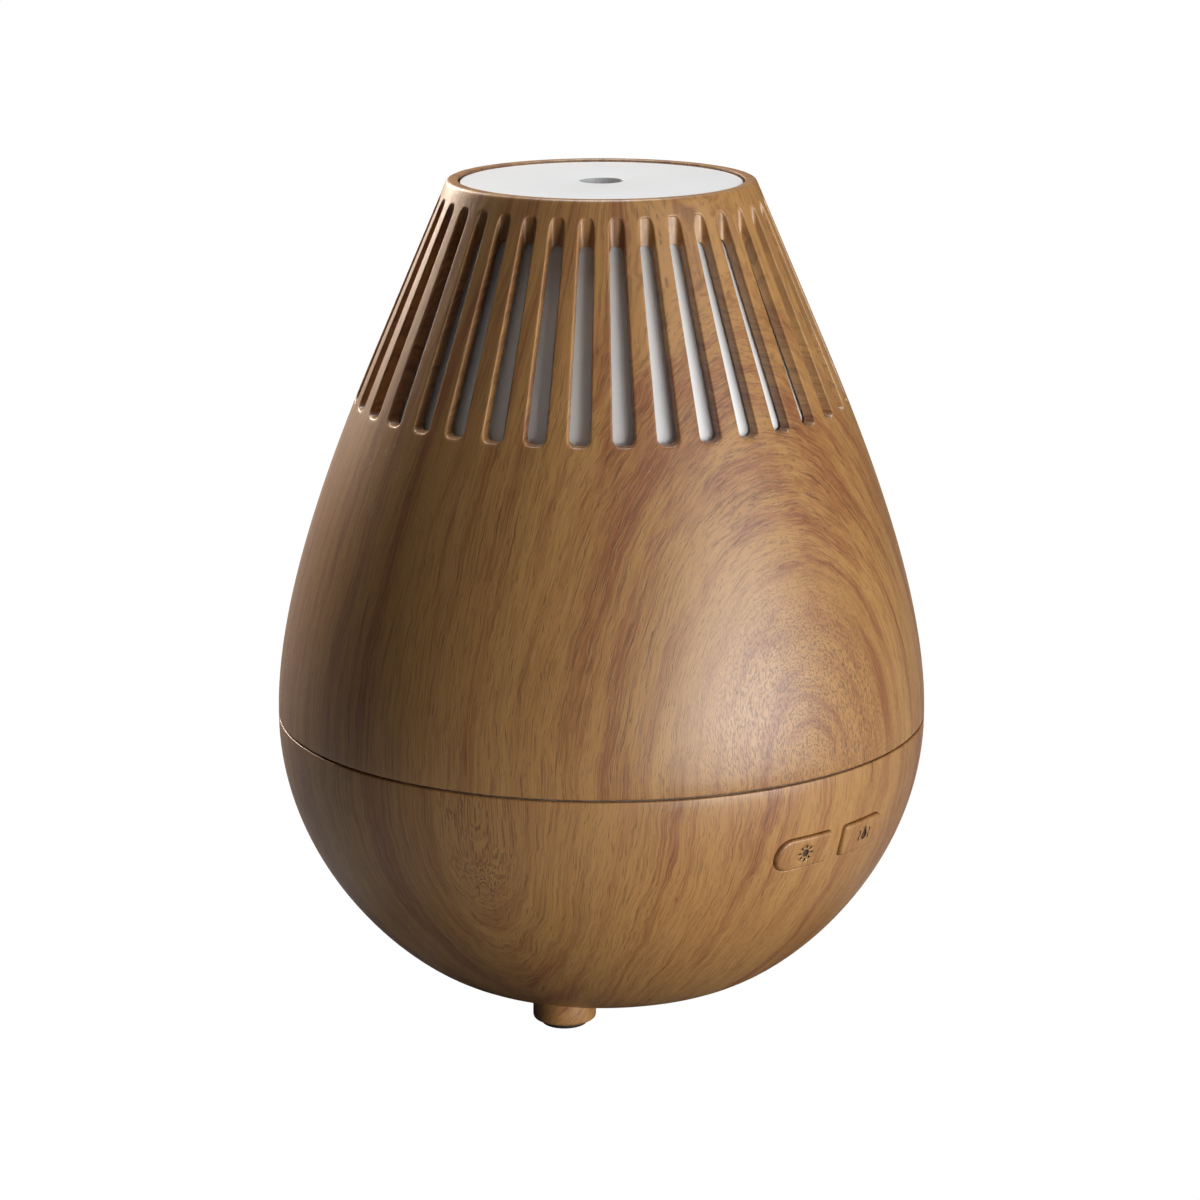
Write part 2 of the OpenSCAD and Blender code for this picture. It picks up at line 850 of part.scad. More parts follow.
module transducer_retainer() {
    color(white_tone)
    difference() {
        union() {
            bar([0, 0], retainer_r, retainer_z, seal_z);
            ring(retainer_r, seal_r + slip, seal_z - bite, tank_z - 0.2);
            for (k = [0:2])
                bar(round_spot(60 + k * 120, retainer_screw_r), retainer_ear_r, retainer_z, seal_z);
        }
        bar([0, 0], well_r, retainer_z - cut, seal_z + cut);
        for (k = [0:2])
            bar(round_spot(60 + k * 120, retainer_screw_r), screw_r, retainer_z - cut,
                seal_z + cut);
    }
}

module retainer_screws() {
    color(steel_tone)
        for (k = [0:2])
            screw(round_spot(60 + k * 120, retainer_screw_r), screw_r, small_head_r, -1,
                retainer_z, tank_z - 0.4);
}

// ---- Wires ----

module transducer_leads() {
    low = fan_top + 1;
    high = board_top + 1.6;
    color("firebrick")
        wire_pair([[0, -5, seal_z + disc_lift + plug_in], [0, -6, retainer_z + 0.6], [0, -9, low],
            [0, -15, low], [0, -18, low + 1.6], [0, -20, high], [0, -22.5 - plug_in, high]],
            [1, 0.02, 0.01], [0.8, 0, 0]);
}

module fan_leads() {
    color(black_tone)
        wire_pair([[-19.3, -3.4, fan_top - plug_in], [-18.9, -3.8, fan_top + 1.6],
            [-19, -4.6, fan_top + 3.4], [-20, -5.3, board_top + 1.2],
            [-22.2, -6, board_top + 1.4]], [0.3, 1, 0.02], [-0.2, 0.75, 0]);
}

module switch_leads() {
    color("dimgray")
        wire_pair([[8, switch_board_y + 0.8, switch_board_foot + plug_in],
            [8, switch_board_y + 1.6, switch_board_foot - 5],
            [7.6, lead_bend_y, tank_z + 1.6], [7.4, -41.5, board_top + 2.2],
            [7.4, -35.8, board_top + 1.6]], [1, 0.02, 0.01], [0.8, 0, 0]);
}

module power_leads() {
    color("firebrick")
        wire_pair([[plug_in - 4.5, jack_back_y - 3.4, jack_z + 2.4], [-6, jack_back_y - 3.9, jack_z + 2.7],
            [-7.3, lead_end_y + 1.8, jack_z + 2.9], [-8.4, lead_end_y, jack_z + 3]],
            [0.02, 0.01, 1], [0, 0, 0.7]);
}

// ---- Power jack ----

module power_jack() {
    color(black_tone)
    difference() {
        union() {
            translate([-jack_body[0] / 2, jack_back_y - jack_body[1], jack_z - jack_body[2] / 2])
                cube(jack_body);
            lying_bar(0, jack_z, jack_r, jack_back_y - bite, jack_face_y);
        }
        lying_bar(0, jack_z, socket_r, jack_back_y - 6.5, jack_face_y + cut);
    }
}

module jack_pin() {
    color(brass_tone)
        lying_bar(0, jack_z, jack_pin_r, jack_back_y - 6.5, jack_face_y - 0.8);
}

module jack_nut() {
    color(steel_tone)
        difference() {
            translate([0, jack_back_y + jack_nut_thick, jack_z])
                rotate([90, 0, 0])
                    cylinder(r = jack_r + 2, h = jack_nut_thick, $fn = 6);
            lying_bar(0, jack_z, jack_r, jack_back_y - cut, jack_face_y);
        }
}

// ---- Push switches behind the buttons ----

module switch_board() {
    color(board_tone)
    difference() {
        union() {
            translate([-14, switch_board_y, switch_board_foot])
                cube([28, board_thick, switch_board_top - switch_board_foot]);
            translate([-5, switch_board_y, switch_tab_foot])
                cube([10, board_thick, switch_board_foot - switch_tab_foot + bite]);
        }
        for (spot = post_spots)
            lying_bar(spot[0], spot[1], screw_r, switch_board_y - cut, switch_board_back + cut);
    }
}

module push_switches() {
    color(steel_tone)
        for (side = [-1, 1])
            difference() {
                translate([side * button_x - switch_side / 2, switch_front_y,
                    button_z - switch_side / 2])
                    cube([switch_side, switch_depth, switch_side]);
                lying_bar(side * button_x, button_z, plunger_r + slip, switch_front_y - cut,
                    switch_board_y - 0.3);
            }
}

module switch_board_screws() {
    color(steel_tone)
        for (spot = post_spots)
            union() {
                lying_bar(spot[0], spot[1], 2, switch_board_back, switch_board_back + 1);
                lying_bar(spot[0], spot[1], screw_r, switch_board_y - 3.6, switch_board_back);
            }
}

module light_button() {
    color(wood_tone)
        button_cap(-1)
            sun_mark();
}

module light_plunger() {
    color(black_tone)
        switch_plunger(-1);
}

module mist_button() {
    color(wood_tone)
        button_cap(1)
            drop_mark();
}

module mist_plunger() {
    color(black_tone)
        switch_plunger(1);
}

// ---- Water tank ----

module water_tank() {
    spigot_r = body_r - cover_wall - spigot_gap - 0.4;
    duct_top = seam_h + duct_rise;
    color(white_tone)
    difference() {
        union() {
            rotate_extrude()
                polygon(concat([[well_r, tank_z]], inset_path(tank_curve, 0, 0, 10),
                    [[tank_r, flange_z], [rebate_r - slip, flange_z],
                    [rebate_r - slip, flange_top], [spigot_r, flange_top],
                    [spigot_r, spigot_top], [spigot_r - spigot_wall, spigot_top],
                    [spigot_r - spigot_wall, flange_top], [tank_r - tank_wall, flange_top]],
                    reversed(inset_path(tank_curve, tank_wall, 0, 10)), [[well_r, tank_floor]]));
            bar([duct_x, 0], duct_r, tank_z, duct_top);
            for (k = [0:foot_count - 1])
                bar(round_spot(foot_turn + k * foot_step, foot_circle_r), column_r, boss_top,
                    tank_z + bite);
            for (k = [0:2]) {
                bar(round_spot(k * 120, board_screw_r), 2.8, board_top, tank_z + 1);
                bar(round_spot(60 + k * 120, retainer_screw_r), 1.9, seal_z, tank_z + bite);
            }
        }
        bar([duct_x, 0], duct_r - duct_wall, tank_z - cut, duct_top + cut);
        for (k = [0:foot_count - 1])
            bar(round_spot(foot_turn + k * foot_step, foot_circle_r), screw_r, boss_top - cut,
                case_screw_tip + cut);
        for (k = [0:2]) {
            bar(round_spot(k * 120, board_screw_r), screw_r, board_top - cut, board_top + 3);
            bar(round_spot(60 + k * 120, retainer_screw_r), screw_r, seal_z - cut, tank_z);
        }
    }
}

module tank_gasket() {
    color(rubber_tone)
        ring(rebate_r - slip, body_r - base_wall + slip, rebate_z, flange_z);
}

module duct_cap() {
    duct_top = seam_h + duct_rise;
    sleeve = 1.4;
    window_h = 4.5;
    cap_r = duct_r + slip + sleeve;
    cap_z = duct_top + window_h + 0.5;
    color(white_tone)
        translate([duct_x, 0, 0])
            difference() {
                bar([0, 0], cap_r, duct_top - 7, cap_z + 1.5);
                bar([0, 0], duct_r, duct_top - 7 - cut, cap_z);
                for (turn = [0:90:270])
                    rotate(turn)
                        translate([0, -4.5, duct_top])
                            cube([cap_r + cut, 9, window_h]);
            }
}

// ---- Cover ----

module outer_cover() {
    half = slot_angle / 2;
    reach = body_r + cut;
    color(wood_tone)
    difference() {
        union() {
            rotate_extrude()
                polygon(concat(cover_path(0), reversed(cover_path(cover_wall))));
            ring(slot_inner_r - 1, ledge_r, ledge_z, ledge_top);
        }
        for (k = [0:slot_count - 1])
            rotate(k * 360 / slot_count)
                translate([0, 0, slot_foot])
                    linear_extrude(body_h - slot_foot + cut)
                        polygon([round_spot(-half, slot_inner_r), round_spot(half, slot_inner_r),
                            round_spot(half, reach), round_spot(-half, reach)]);
    }
}

module top_disc() {
    color(white_tone)
    difference() {
        union() {
            bar([0, 0], disc_r, disc_z, disc_top);
            ring(funnel_tube_r + collar_wall, funnel_tube_r, disc_z - collar_h, disc_z + bite);
            for (k = [0:2])
                bar(round_spot(k * 120, cover_screw_r), disc_boss_r, ledge_z, disc_z + bite);
        }
        bar([0, 0], mist_hole_d / 2, disc_z - cut, disc_top + cut);
        for (k = [0:2])
            bar(round_spot(k * 120, cover_screw_r), screw_r, ledge_z - cut, disc_top - 1);
    }
}

module light_diffuser() {
    outer = cover_wall + diffuser_gap;
    color(milky_tone)
    difference() {
        union() {
            rotate_extrude()
                intersection() {
                    polygon(concat(cover_path(outer), reversed(cover_path(outer + diffuser_wall))));
                    translate([0, ledge_z - diffuser_length])
                        square([body_r, diffuser_length]);
                }
            rotate_extrude()
                intersection() {
                    polygon(concat([[0, cover_foot]], cover_path(outer), [[0, body_h]]));
                    translate([diffuser_flange_r, diffuser_z])
                        square([body_r, diffuser_flange_thick]);
                }
        }
        for (k = [0:2])
            bar(round_spot(k * 120, cover_screw_r), screw_r, diffuser_z - cut, ledge_z + cut);
    }
}

module mist_funnel() {
    tube_foot = funnel_top - funnel_tube_length;
    curve = [[funnel_mouth_r, funnel_z], [funnel_mouth_r - 14, funnel_z + 16],
        [funnel_tube_r, tube_foot - 14], [funnel_tube_r, tube_foot]];
    color(white_tone)
        rotate_extrude()
            polygon(concat(inset_path(curve, 0, 0, 12), [[funnel_tube_r, funnel_top],
                [funnel_tube_r - funnel_wall, funnel_top]],
                reversed(inset_path(curve, funnel_wall, 0, 12))));
}

module cover_screws() {
    color(steel_tone)
        for (k = [0:2])
            screw(round_spot(k * 120, cover_screw_r), screw_r, small_head_r, -small_head_h,
                diffuser_z, disc_top - 1.4);
}

base_bowl();
foot_pads();
case_screws();
intake_grille();
fan_frame();
fan_screws();
fan_bearing();
fan_stator();
fan_impeller();
fan_magnet();
fan_shaft();
main_board();
board_screws();
capacitors();
driver_coil();
driver_transistor();
heat_sink();
control_chip();
light_chips();
wire_connectors();
transducer_disc();
transducer_seal();
transducer_retainer();
retainer_screws();
transducer_leads();
fan_leads();
switch_leads();
power_leads();
power_jack();
jack_pin();
jack_nut();
switch_board();
push_switches();
switch_board_screws();
light_button();
light_plunger();
mist_button();
mist_plunger();
water_tank();
tank_gasket();
duct_cap();
outer_cover();
top_disc();
light_diffuser();
mist_funnel();
cover_screws();
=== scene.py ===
"""Ultrasonic cool mist humidifier: a slotted wood-film cover over a round base with a water tank.

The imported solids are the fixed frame. The shells that show are rebuilt here with eased edges, and
every solid that stays gets a finish of its own. Lengths are millimetres until a mesh is written.
"""

import json
import logging
import math
from dataclasses import dataclass, field
from enum import Enum
from typing import Callable, Sequence, Union

import bmesh
import bpy
import numpy as np
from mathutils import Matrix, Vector

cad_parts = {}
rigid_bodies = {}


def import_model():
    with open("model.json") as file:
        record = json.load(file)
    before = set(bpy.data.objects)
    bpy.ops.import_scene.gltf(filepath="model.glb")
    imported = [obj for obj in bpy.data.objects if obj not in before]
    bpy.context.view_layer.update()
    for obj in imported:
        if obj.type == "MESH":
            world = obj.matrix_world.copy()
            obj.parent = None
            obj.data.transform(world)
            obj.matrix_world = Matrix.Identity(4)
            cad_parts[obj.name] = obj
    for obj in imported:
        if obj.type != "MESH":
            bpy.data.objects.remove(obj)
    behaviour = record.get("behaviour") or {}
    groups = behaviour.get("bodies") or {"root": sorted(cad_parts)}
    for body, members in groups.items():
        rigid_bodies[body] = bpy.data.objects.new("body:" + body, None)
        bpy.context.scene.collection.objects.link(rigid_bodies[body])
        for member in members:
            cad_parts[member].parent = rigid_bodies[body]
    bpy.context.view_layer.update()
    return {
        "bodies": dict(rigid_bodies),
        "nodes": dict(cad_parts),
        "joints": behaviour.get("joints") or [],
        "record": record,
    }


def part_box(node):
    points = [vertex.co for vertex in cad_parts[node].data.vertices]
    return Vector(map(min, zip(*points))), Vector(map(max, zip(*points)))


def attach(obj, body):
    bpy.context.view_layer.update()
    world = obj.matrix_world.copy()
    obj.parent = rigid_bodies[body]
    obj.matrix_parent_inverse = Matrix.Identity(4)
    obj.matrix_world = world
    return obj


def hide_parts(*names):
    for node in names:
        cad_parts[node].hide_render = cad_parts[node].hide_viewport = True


MM = 0.001
log = logging.getLogger("humidifier")

Colour = tuple[float, float, float]
Points = np.ndarray


# ---------------------------------------------------------------- outlines

@dataclass(frozen=True)
class Outline:
    """A cubic curve in the (radius, height) plane, with an optional straight end."""

    curve: tuple[tuple[float, float], ...]
    end: tuple[float, float] | None = None
    tilt: float = 0.0

    def points(self, inset: float = 0.0, steps: int = 160) -> Points:
        """The outline moved to its left.

        Args:
            inset: how far the outline moves, in mm.
            steps: number of steps along the curve.

        Returns:
            An array of (radius, height) rows from the lower end to the upper end.
        """
        t = np.linspace(0.0, 1.0, steps + 1)[:, None]
        p = np.array(self.curve)
        at = ((1 - t) ** 3 * p[0] + 3 * t * (1 - t) ** 2 * p[1]
              + 3 * t * t * (1 - t) * p[2] + t ** 3 * p[3])
        go = ((1 - t) ** 2 * (p[1] - p[0]) + 2 * t * (1 - t) * (p[2] - p[1])
              + t * t * (p[3] - p[2]))
        go /= np.linalg.norm(go, axis=1)[:, None]
        rows = at + inset * np.stack([-go[:, 1], go[:, 0]], 1)
        if self.end is not None:
            last = [self.end[0] - inset / math.cos(math.radians(self.tilt)), self.end[1]]
            rows = np.vstack([rows, last])
        return rows

    def radius(self, height: Points | float, inset: float = 0.0) -> Points:
        """Radius of the outline at a height."""
        rows = self.points(inset)
        order = np.argsort(rows[:, 1])
        return np.interp(height, rows[order, 1], rows[order, 0])


@dataclass(frozen=True)
class Body:
    """Sizes of the whole body that several pieces share."""

    radius: float = 62.5
    height: float = 158.0
    base_top: float = 55.025
    cover_foot: float = 55.375
    cone_tilt: float = 23.2
    cone_length: float = 26.7
    top_radius: float = 29.0
    cover_wall: float = 2.0
    base_wall: float = 2.6
    underside: float = 3.9
    floor: float = 6.5

    @property
    def cover(self) -> Outline:
        """Outline of the cover's outer face."""
        tilt = math.radians(self.cone_tilt)
        cone_z = self.height - self.cone_length
        cone_r = self.top_radius + self.cone_length * math.tan(tilt)
        curve = ((self.radius, self.cover_foot), (self.radius, self.cover_foot + 24.5),
                 (cone_r + 22 * math.sin(tilt), cone_z - 22 * math.cos(tilt)), (cone_r, cone_z))
        return Outline(curve, (self.top_radius, self.height), self.cone_tilt)

    @property
    def base(self) -> Outline:
        """Outline of the base's outer face."""
        return Outline(((29.0, self.underside), (36.3, self.underside + 0.5),
                        (self.radius, self.base_top - 30.5), (self.radius, self.base_top)))


BODY = Body()


def eased(profile: Sequence[tuple[float, ...]], steps: int = 3) -> Points:
    """Rounds the corners of a profile.

    Args:
        profile: rows of (radius, height) or (radius, height, easing radius).
        steps: segments in each rounded corner.

    Returns:
        The rows of the rounded profile.
    """
    rows: list[Points] = []
    pts = [np.array(p[:2], float) for p in profile]
    for i, p in enumerate(profile):
        size = p[2] if len(p) > 2 else 0.0
        if size <= 0 or i in (0, len(profile) - 1):
            rows.append(pts[i])
            continue
        a, b = pts[i - 1] - pts[i], pts[i + 1] - pts[i]
        la, lb = np.linalg.norm(a), np.linalg.norm(b)
        a, b = a / la, b / lb
        half = math.acos(float(np.clip(a @ b, -1, 1))) / 2
        back = min(size / max(math.tan(half), 1e-6), 0.49 * la, 0.49 * lb)
        for k in range(steps + 1):
            t = k / steps
            rows.append((1 - t) ** 2 * (pts[i] + a * back) + 2 * t * (1 - t) * pts[i]
                        + t * t * (pts[i] + b * back))
    return np.array(rows)


def polar(angle: Points, radius: Points, height: Points) -> Points:
    """Points in space from the angle from the front (radians), radius and height."""
    angle, radius, height = np.broadcast_arrays(angle, radius, height)
    return np.stack([radius * np.sin(angle), -radius * np.cos(angle), height], -1)


# ---------------------------------------------------------------- mesh making

class Draft:
    """Collects sheets of points in millimetres and turns them into one piece."""

    def __init__(self) -> None:
        """Starts with no points and no faces."""
        self.points: list[Points] = []
        self.faces: list[tuple[int, ...]] = []
        self.count = 0

    def sheet(self, rows: Points, around: bool = False, along: bool = False,
              holes: Sequence["Hole"] = ()) -> None:
        """Adds a grid of quads.

        Args:
            rows: array of shape (rows, columns, 3).
            around: joins the last column to the first.
            along: joins the last row to the first.
            holes: patches of the grid that are left out.
        """
        n, m = rows.shape[:2]
        start = self.count
        self.points.append(rows.reshape(-1, 3))
        self.count += n * m
        for i in range(n if along else n - 1):
            a, b = start + i * m, start + ((i + 1) % n) * m
            middle = float(rows[i, 0, 2] + rows[(i + 1) % n, 0, 2]) / 2
            for j in range(m if around else m - 1):
                if any(hole.holds(middle, j) for hole in holes):
                    continue
                k = (j + 1) % m
                self.faces.append((a + j, a + k, b + k, b + j))

    def zip_fill(self, loop: Points, wide: int, tall: int) -> None:
        """Closes a four-sided loop by joining its foot to its top and its ends to themselves.

        Args:
            loop: points along the foot, up, back along the top and down.
            wide: segments of the foot and of the top.
            tall: segments of each end.
        """
        start, n = self.count, len(loop)
        self.points.append(loop)
        self.count += n
        pairs = [(i, 2 * wide + tall - i) for i in range(wide + 1)]
        pairs += [(wide + j, wide + tall - j) for j in range(1, tall // 2 + 1)]
        ends = [(2 * wide + tall + j, (2 * wide + 2 * tall - j) % n)
                for j in range(tall // 2 + 1)]
        for chain in (pairs, ends):
            for (a, b), (c, d) in zip(chain, chain[1:]):
                face = list(dict.fromkeys((start + a, start + c, start + d, start + b)))
                if len(face) > 2:
                    self.faces.append(tuple(face))

    def cap(self, loop: Points) -> None:
        """Closes a loop of points with a fan about its middle."""
        start, n = self.count, len(loop)
        self.points.append(np.vstack([loop, loop.mean(0)[None]]))
        self.count += n + 1
        self.faces += [(start + i, start + (i + 1) % n, start + n) for i in range(n)]

    def revolve(self, profile: Points, columns: int = 180, closed: bool = False) -> None:
        """Turns a (radius, height) profile round the vertical axis."""
        angle = np.linspace(0, 2 * math.pi, columns, endpoint=False)
        self.sheet(polar(angle[None, :], profile[:, :1], profile[:, 1:2]), True, closed)

    def bar(self, profile: Points, centre: tuple[float, float, float], axis: str = "z",
            columns: int = 40) -> None:
        """Adds a turned solid.

        Args:
            profile: rows of (radius, distance along the axis); radius 0 at an end closes it.
            centre: where distance 0 lies.
            axis: "z" for upright, "y" for a solid that lies towards the back.
            columns: segments round the axis.
        """
        angle = np.linspace(0, 2 * math.pi, columns, endpoint=False)
        p = polar(angle[None, :], profile[:, :1], profile[:, 1:2])
        if axis == "y":
            p = np.stack([p[..., 0], p[..., 2], -p[..., 1]], -1)
        self.sheet(p + np.array(centre), True)

    def piece(self, name: str, finishes: Sequence[bpy.types.Material],
              crease: float = 38.0) -> bpy.types.Object:
        """Welds what was collected into one smooth-shaded object.

        Args:
            name: name of the piece.
            finishes: its materials.
            crease: faces that meet at more than this angle, in degrees, keep a hard edge.

        Returns:
            The new object, linked to the scene.
        """
        mesh = bpy.data.meshes.new(name)
        mesh.from_pydata((np.vstack(self.points) * MM).tolist(), [], self.faces)
        work = bmesh.new()
        work.from_mesh(mesh)
        bmesh.ops.remove_doubles(work, verts=work.verts, dist=2e-6)
        bmesh.ops.dissolve_degenerate(work, dist=1e-6, edges=work.edges)
        bmesh.ops.recalc_face_normals(work, faces=work.faces)
        limit = math.radians(crease)
        for edge in work.edges:
            edge.smooth = len(edge.link_faces) != 2 or edge.calc_face_angle(0.0) < limit
        for face in work.faces:
            face.smooth = True
        work.to_mesh(mesh)
        work.free()
        for finish in finishes:
            mesh.materials.append(finish)
        made = bpy.data.objects.new(name, mesh)
        bpy.context.scene.collection.objects.link(made)
        return made


@dataclass(frozen=True)
class Hole:
    """A patch of a turned grid that is left out, by height and column numbers."""

    low: float
    high: float
    first: int
    last: int

    def holds(self, height: float, column: int) -> bool:
        """Whether a cell of the grid lies in the patch."""
        return self.low < height < self.high and self.first <= column < self.last


Face = Callable[[Points, Points], Points]


@dataclass(frozen=True)
class Port:
    """An opening with an eased outer edge in a turned wall, inside a four-sided patch of it."""

    outer: Outline
    wall: float
    outer_loop: Points
    inner_loop: Points
    columns: Points
    outer_rows: Points
    inner_rows: Points
    easing: float = 0.3
    middle: tuple[Points, ...] = ()

    def face(self, inset: float) -> Face:
        """The turned face at that inset, as a function of angle and height."""
        rows = self.outer.points(inset)
        order = np.argsort(rows[:, 1])
        z, r = rows[order, 1], rows[order, 0]

        def place(angle: Points, height: Points) -> Points:
            """Points of the face at those angles and heights."""
            return polar(angle, np.interp(height, z, r), height)

        return place

    @staticmethod
    def border(columns: Points, rows: Points) -> Points:
        """The patch's border from its lower left corner: along the foot, up, back and down."""
        foot = [(a, rows[0]) for a in columns[:-1]]
        up = [(columns[-1], z) for z in rows[:-1]]
        top = [(a, rows[-1]) for a in columns[:0:-1]]
        down = [(columns[0], z) for z in rows[:0:-1]]
        return np.array(foot + up + top + down)

    def build(self, draft: Draft) -> None:
        """Adds the patch, the eased edge and the opening's wall to a draft."""
        outside, inside = self.face(0.0), self.face(self.wall)
        loop = self.outer_loop
        scale = float(self.outer.radius(loop[:, 1].mean()))
        flat = loop * np.array([scale, 1.0])
        step = np.roll(flat, -1, 0) - np.roll(flat, 1, 0)
        away = np.stack([step[:, 1], -step[:, 0]], 1)
        away /= np.linalg.norm(away, axis=1)[:, None]
        if ((flat - flat.mean(0)) * away).sum() < 0:
            away = -away
        away = away / np.array([scale, 1.0])
        e = 1e-3
        a, z = loop[:, 0], loop[:, 1]
        du = outside(a + e, z) - outside(a - e, z)
        dv = outside(a, z + 50 * e) - outside(a, z - 50 * e)
        normal = np.cross(du, dv)
        normal /= np.linalg.norm(normal, axis=1)[:, None]
        start = loop + away * self.easing
        edge = self.border(self.columns, self.outer_rows)
        rows = [outside(*(edge * (1 - t) + start * t).T) for t in (0.0, 0.3, 0.62, 0.86, 1.0)]
        for turn in (30, 60, 90):
            s, c = math.sin(math.radians(turn)), math.cos(math.radians(turn))
            at = outside(*(loop + away * self.easing * (1 - s)).T)
            rows.append(at - normal * self.easing * (1 - c))
        far = inside(*self.inner_loop.T)
        near = rows[-1]
        rows += list(self.middle) or [near + (far - near) * 0.5]
        rows.append(far)
        back = self.border(self.columns, self.inner_rows)
        rows += [inside(*(self.inner_loop * (1 - t) + back * t).T) for t in (0.5, 1.0)]
        draft.sheet(np.stack(rows), around=True)


# ---------------------------------------------------------------- shader helpers

Socket = bpy.types.NodeSocket
Value = Union[bpy.types.NodeSocket, float, tuple]


class Wiring:
    """Adds and joins shader nodes in one node tree."""

    def __init__(self, tree: bpy.types.NodeTree) -> None:
        """Works on a node tree."""
        self.tree = tree

    def put(self, target: Socket, value: "Value") -> None:
        """Joins a socket to an output, or sets its own value."""
        if isinstance(value, bpy.types.NodeSocket):
            self.tree.links.new(value, target)
        elif isinstance(value, tuple) and target.type == "RGBA" and len(value) == 3:
            target.default_value = (*value, 1.0)
        else:
            target.default_value = value

    def node(self, kind: str, inputs: dict[str | int, "Value"] | None = None,
             **settings: object) -> bpy.types.Node:
        """Adds a node.

        Args:
            kind: the node's type name without "ShaderNode".
            inputs: values or outputs for its input sockets.
            **settings: the node's own properties.

        Returns:
            The node.
        """
        made = self.tree.nodes.new("ShaderNode" + kind)
        for key, value in settings.items():
            setattr(made, key, value)
        for key, value in (inputs or {}).items():
            self.put(made.inputs[key], value)
        return made

    def math(self, operation: str, *values: "Value", clamp: bool = False) -> Socket:
        """A Math node's output."""
        made = self.node("Math", dict(enumerate(values)), operation=operation)
        made.use_clamp = clamp
        return made.outputs[0]

    def remap(self, value: Socket, low: float, high: float, to_low: "Value" = 0.0,
              to_high: "Value" = 1.0) -> Socket:
        """A smooth step from one range to another."""
        made = self.node("MapRange", {"Value": value, "From Min": low, "From Max": high,
                                      "To Min": to_low, "To Max": to_high},
                         interpolation_type="SMOOTHSTEP")
        return made.outputs[0]

    def mix(self, share: "Value", a: "Value", b: "Value", blend: str = "MIX") -> Socket:
        """A colour mix."""
        made = self.tree.nodes.new("ShaderNodeMix")
        made.data_type, made.blend_type = "RGBA", blend
        self.put(made.inputs[0], share)
        self.put(made.inputs[6], a)
        self.put(made.inputs[7], b)
        return made.outputs[2]

    def noise(self, place: Socket, scale: float = 1.0, detail: float = 2.0,
              rough: float = 0.5) -> Socket:
        """A noise value from 0 to 1 at a place."""
        made = self.node("TexNoise", {"Vector": place, "Scale": scale, "Detail": detail,
                                      "Roughness": rough})
        return made.outputs[0]

    def place(self) -> Socket:
        """The place on the piece, in metres."""
        return self.node("TexCoord").outputs["Object"]

    def vector(self, x: "Value", y: "Value", z: "Value") -> Socket:
        """A vector from three values."""
        return self.node("CombineXYZ", {0: x, 1: y, 2: z}).outputs[0]


def new_group(name: str, takes: dict[str, float | Colour],
              gives: dict[str, str]) -> tuple[Wiring, bpy.types.Node, bpy.types.Node]:
    """Starts a shader node group.

    Args:
        name: the group's name.
        takes: its inputs and their first values.
        gives: its outputs and their socket types.

    Returns:
        Its wiring, its input node and its output node.
    """
    tree = bpy.data.node_groups.new(name, "ShaderNodeTree")
    for key, value in takes.items():
        kind = "NodeSocketColor" if isinstance(value, tuple) else "NodeSocketFloat"
        made = tree.interface.new_socket(name=key, in_out="INPUT", socket_type=kind)
        made.default_value = (*value, 1.0) if isinstance(value, tuple) else value
    for key, kind in gives.items():
        tree.interface.new_socket(name=key, in_out="OUTPUT", socket_type=kind)
    return Wiring(tree), tree.nodes.new("NodeGroupInput"), tree.nodes.new("NodeGroupOutput")


def mould_grain_group() -> bpy.types.NodeTree:
    """Fine texture of a moulded, cast or drawn surface: tone, roughness and height."""
    wiring, enter, leave = new_group(
        "mould_grain",
        {"Scale": 900.0, "Stretch": 1.0, "Tone Spread": 0.06, "Roughness": 0.4,
         "Roughness Spread": 0.1},
        {"Tone": "NodeSocketFloat", "Roughness": "NodeSocketFloat", "Height": "NodeSocketFloat"})
    place = wiring.place()
    parts = wiring.node("SeparateXYZ", {0: place}).outputs
    long = wiring.math("MULTIPLY", parts[2], enter.outputs["Stretch"])
    at = wiring.vector(parts[0], parts[1], long)
    scaled = wiring.node("VectorMath", {0: at, "Scale": enter.outputs["Scale"]},
                         operation="SCALE").outputs[0]
    fine = wiring.noise(scaled, 1.0, 3.0, 0.6)
    broad = wiring.noise(place, 45.0, 2.0)
    blend = wiring.math("ADD", wiring.math("MULTIPLY", fine, 0.5),
                        wiring.math("MULTIPLY", broad, 0.5))
    swing = wiring.math("SUBTRACT", blend, 0.5)
    tone = wiring.math("MULTIPLY_ADD", swing, enter.outputs["Tone Spread"], 1.0)
    rough = wiring.math("MULTIPLY_ADD", swing, enter.outputs["Roughness Spread"],
                        enter.outputs["Roughness"])
    for key, value in (("Tone", tone), ("Roughness", rough), ("Height", fine)):
        wiring.put(leave.inputs[key], value)
    return wiring.tree


def settled_dust_group() -> bpy.types.NodeTree:
    """A thin film of dust on faces that look up."""
    wiring, enter, leave = new_group(
        "settled_dust", {"Amount": 0.2, "Scale": 260.0}, {"Mask": "NodeSocketFloat"})
    up = wiring.node("SeparateXYZ", {0: wiring.node("NewGeometry").outputs["Normal"]}).outputs[2]
    level = wiring.remap(up, 0.35, 0.95)
    speck = wiring.remap(wiring.node("TexNoise", {
        "Vector": wiring.place(), "Scale": enter.outputs["Scale"], "Detail": 3.0}).outputs[0],
        0.45, 0.7)
    mask = wiring.math("MULTIPLY", wiring.math("MULTIPLY", level, speck),
                       enter.outputs["Amount"], clamp=True)
    wiring.put(leave.inputs["Mask"], mask)
    return wiring.tree


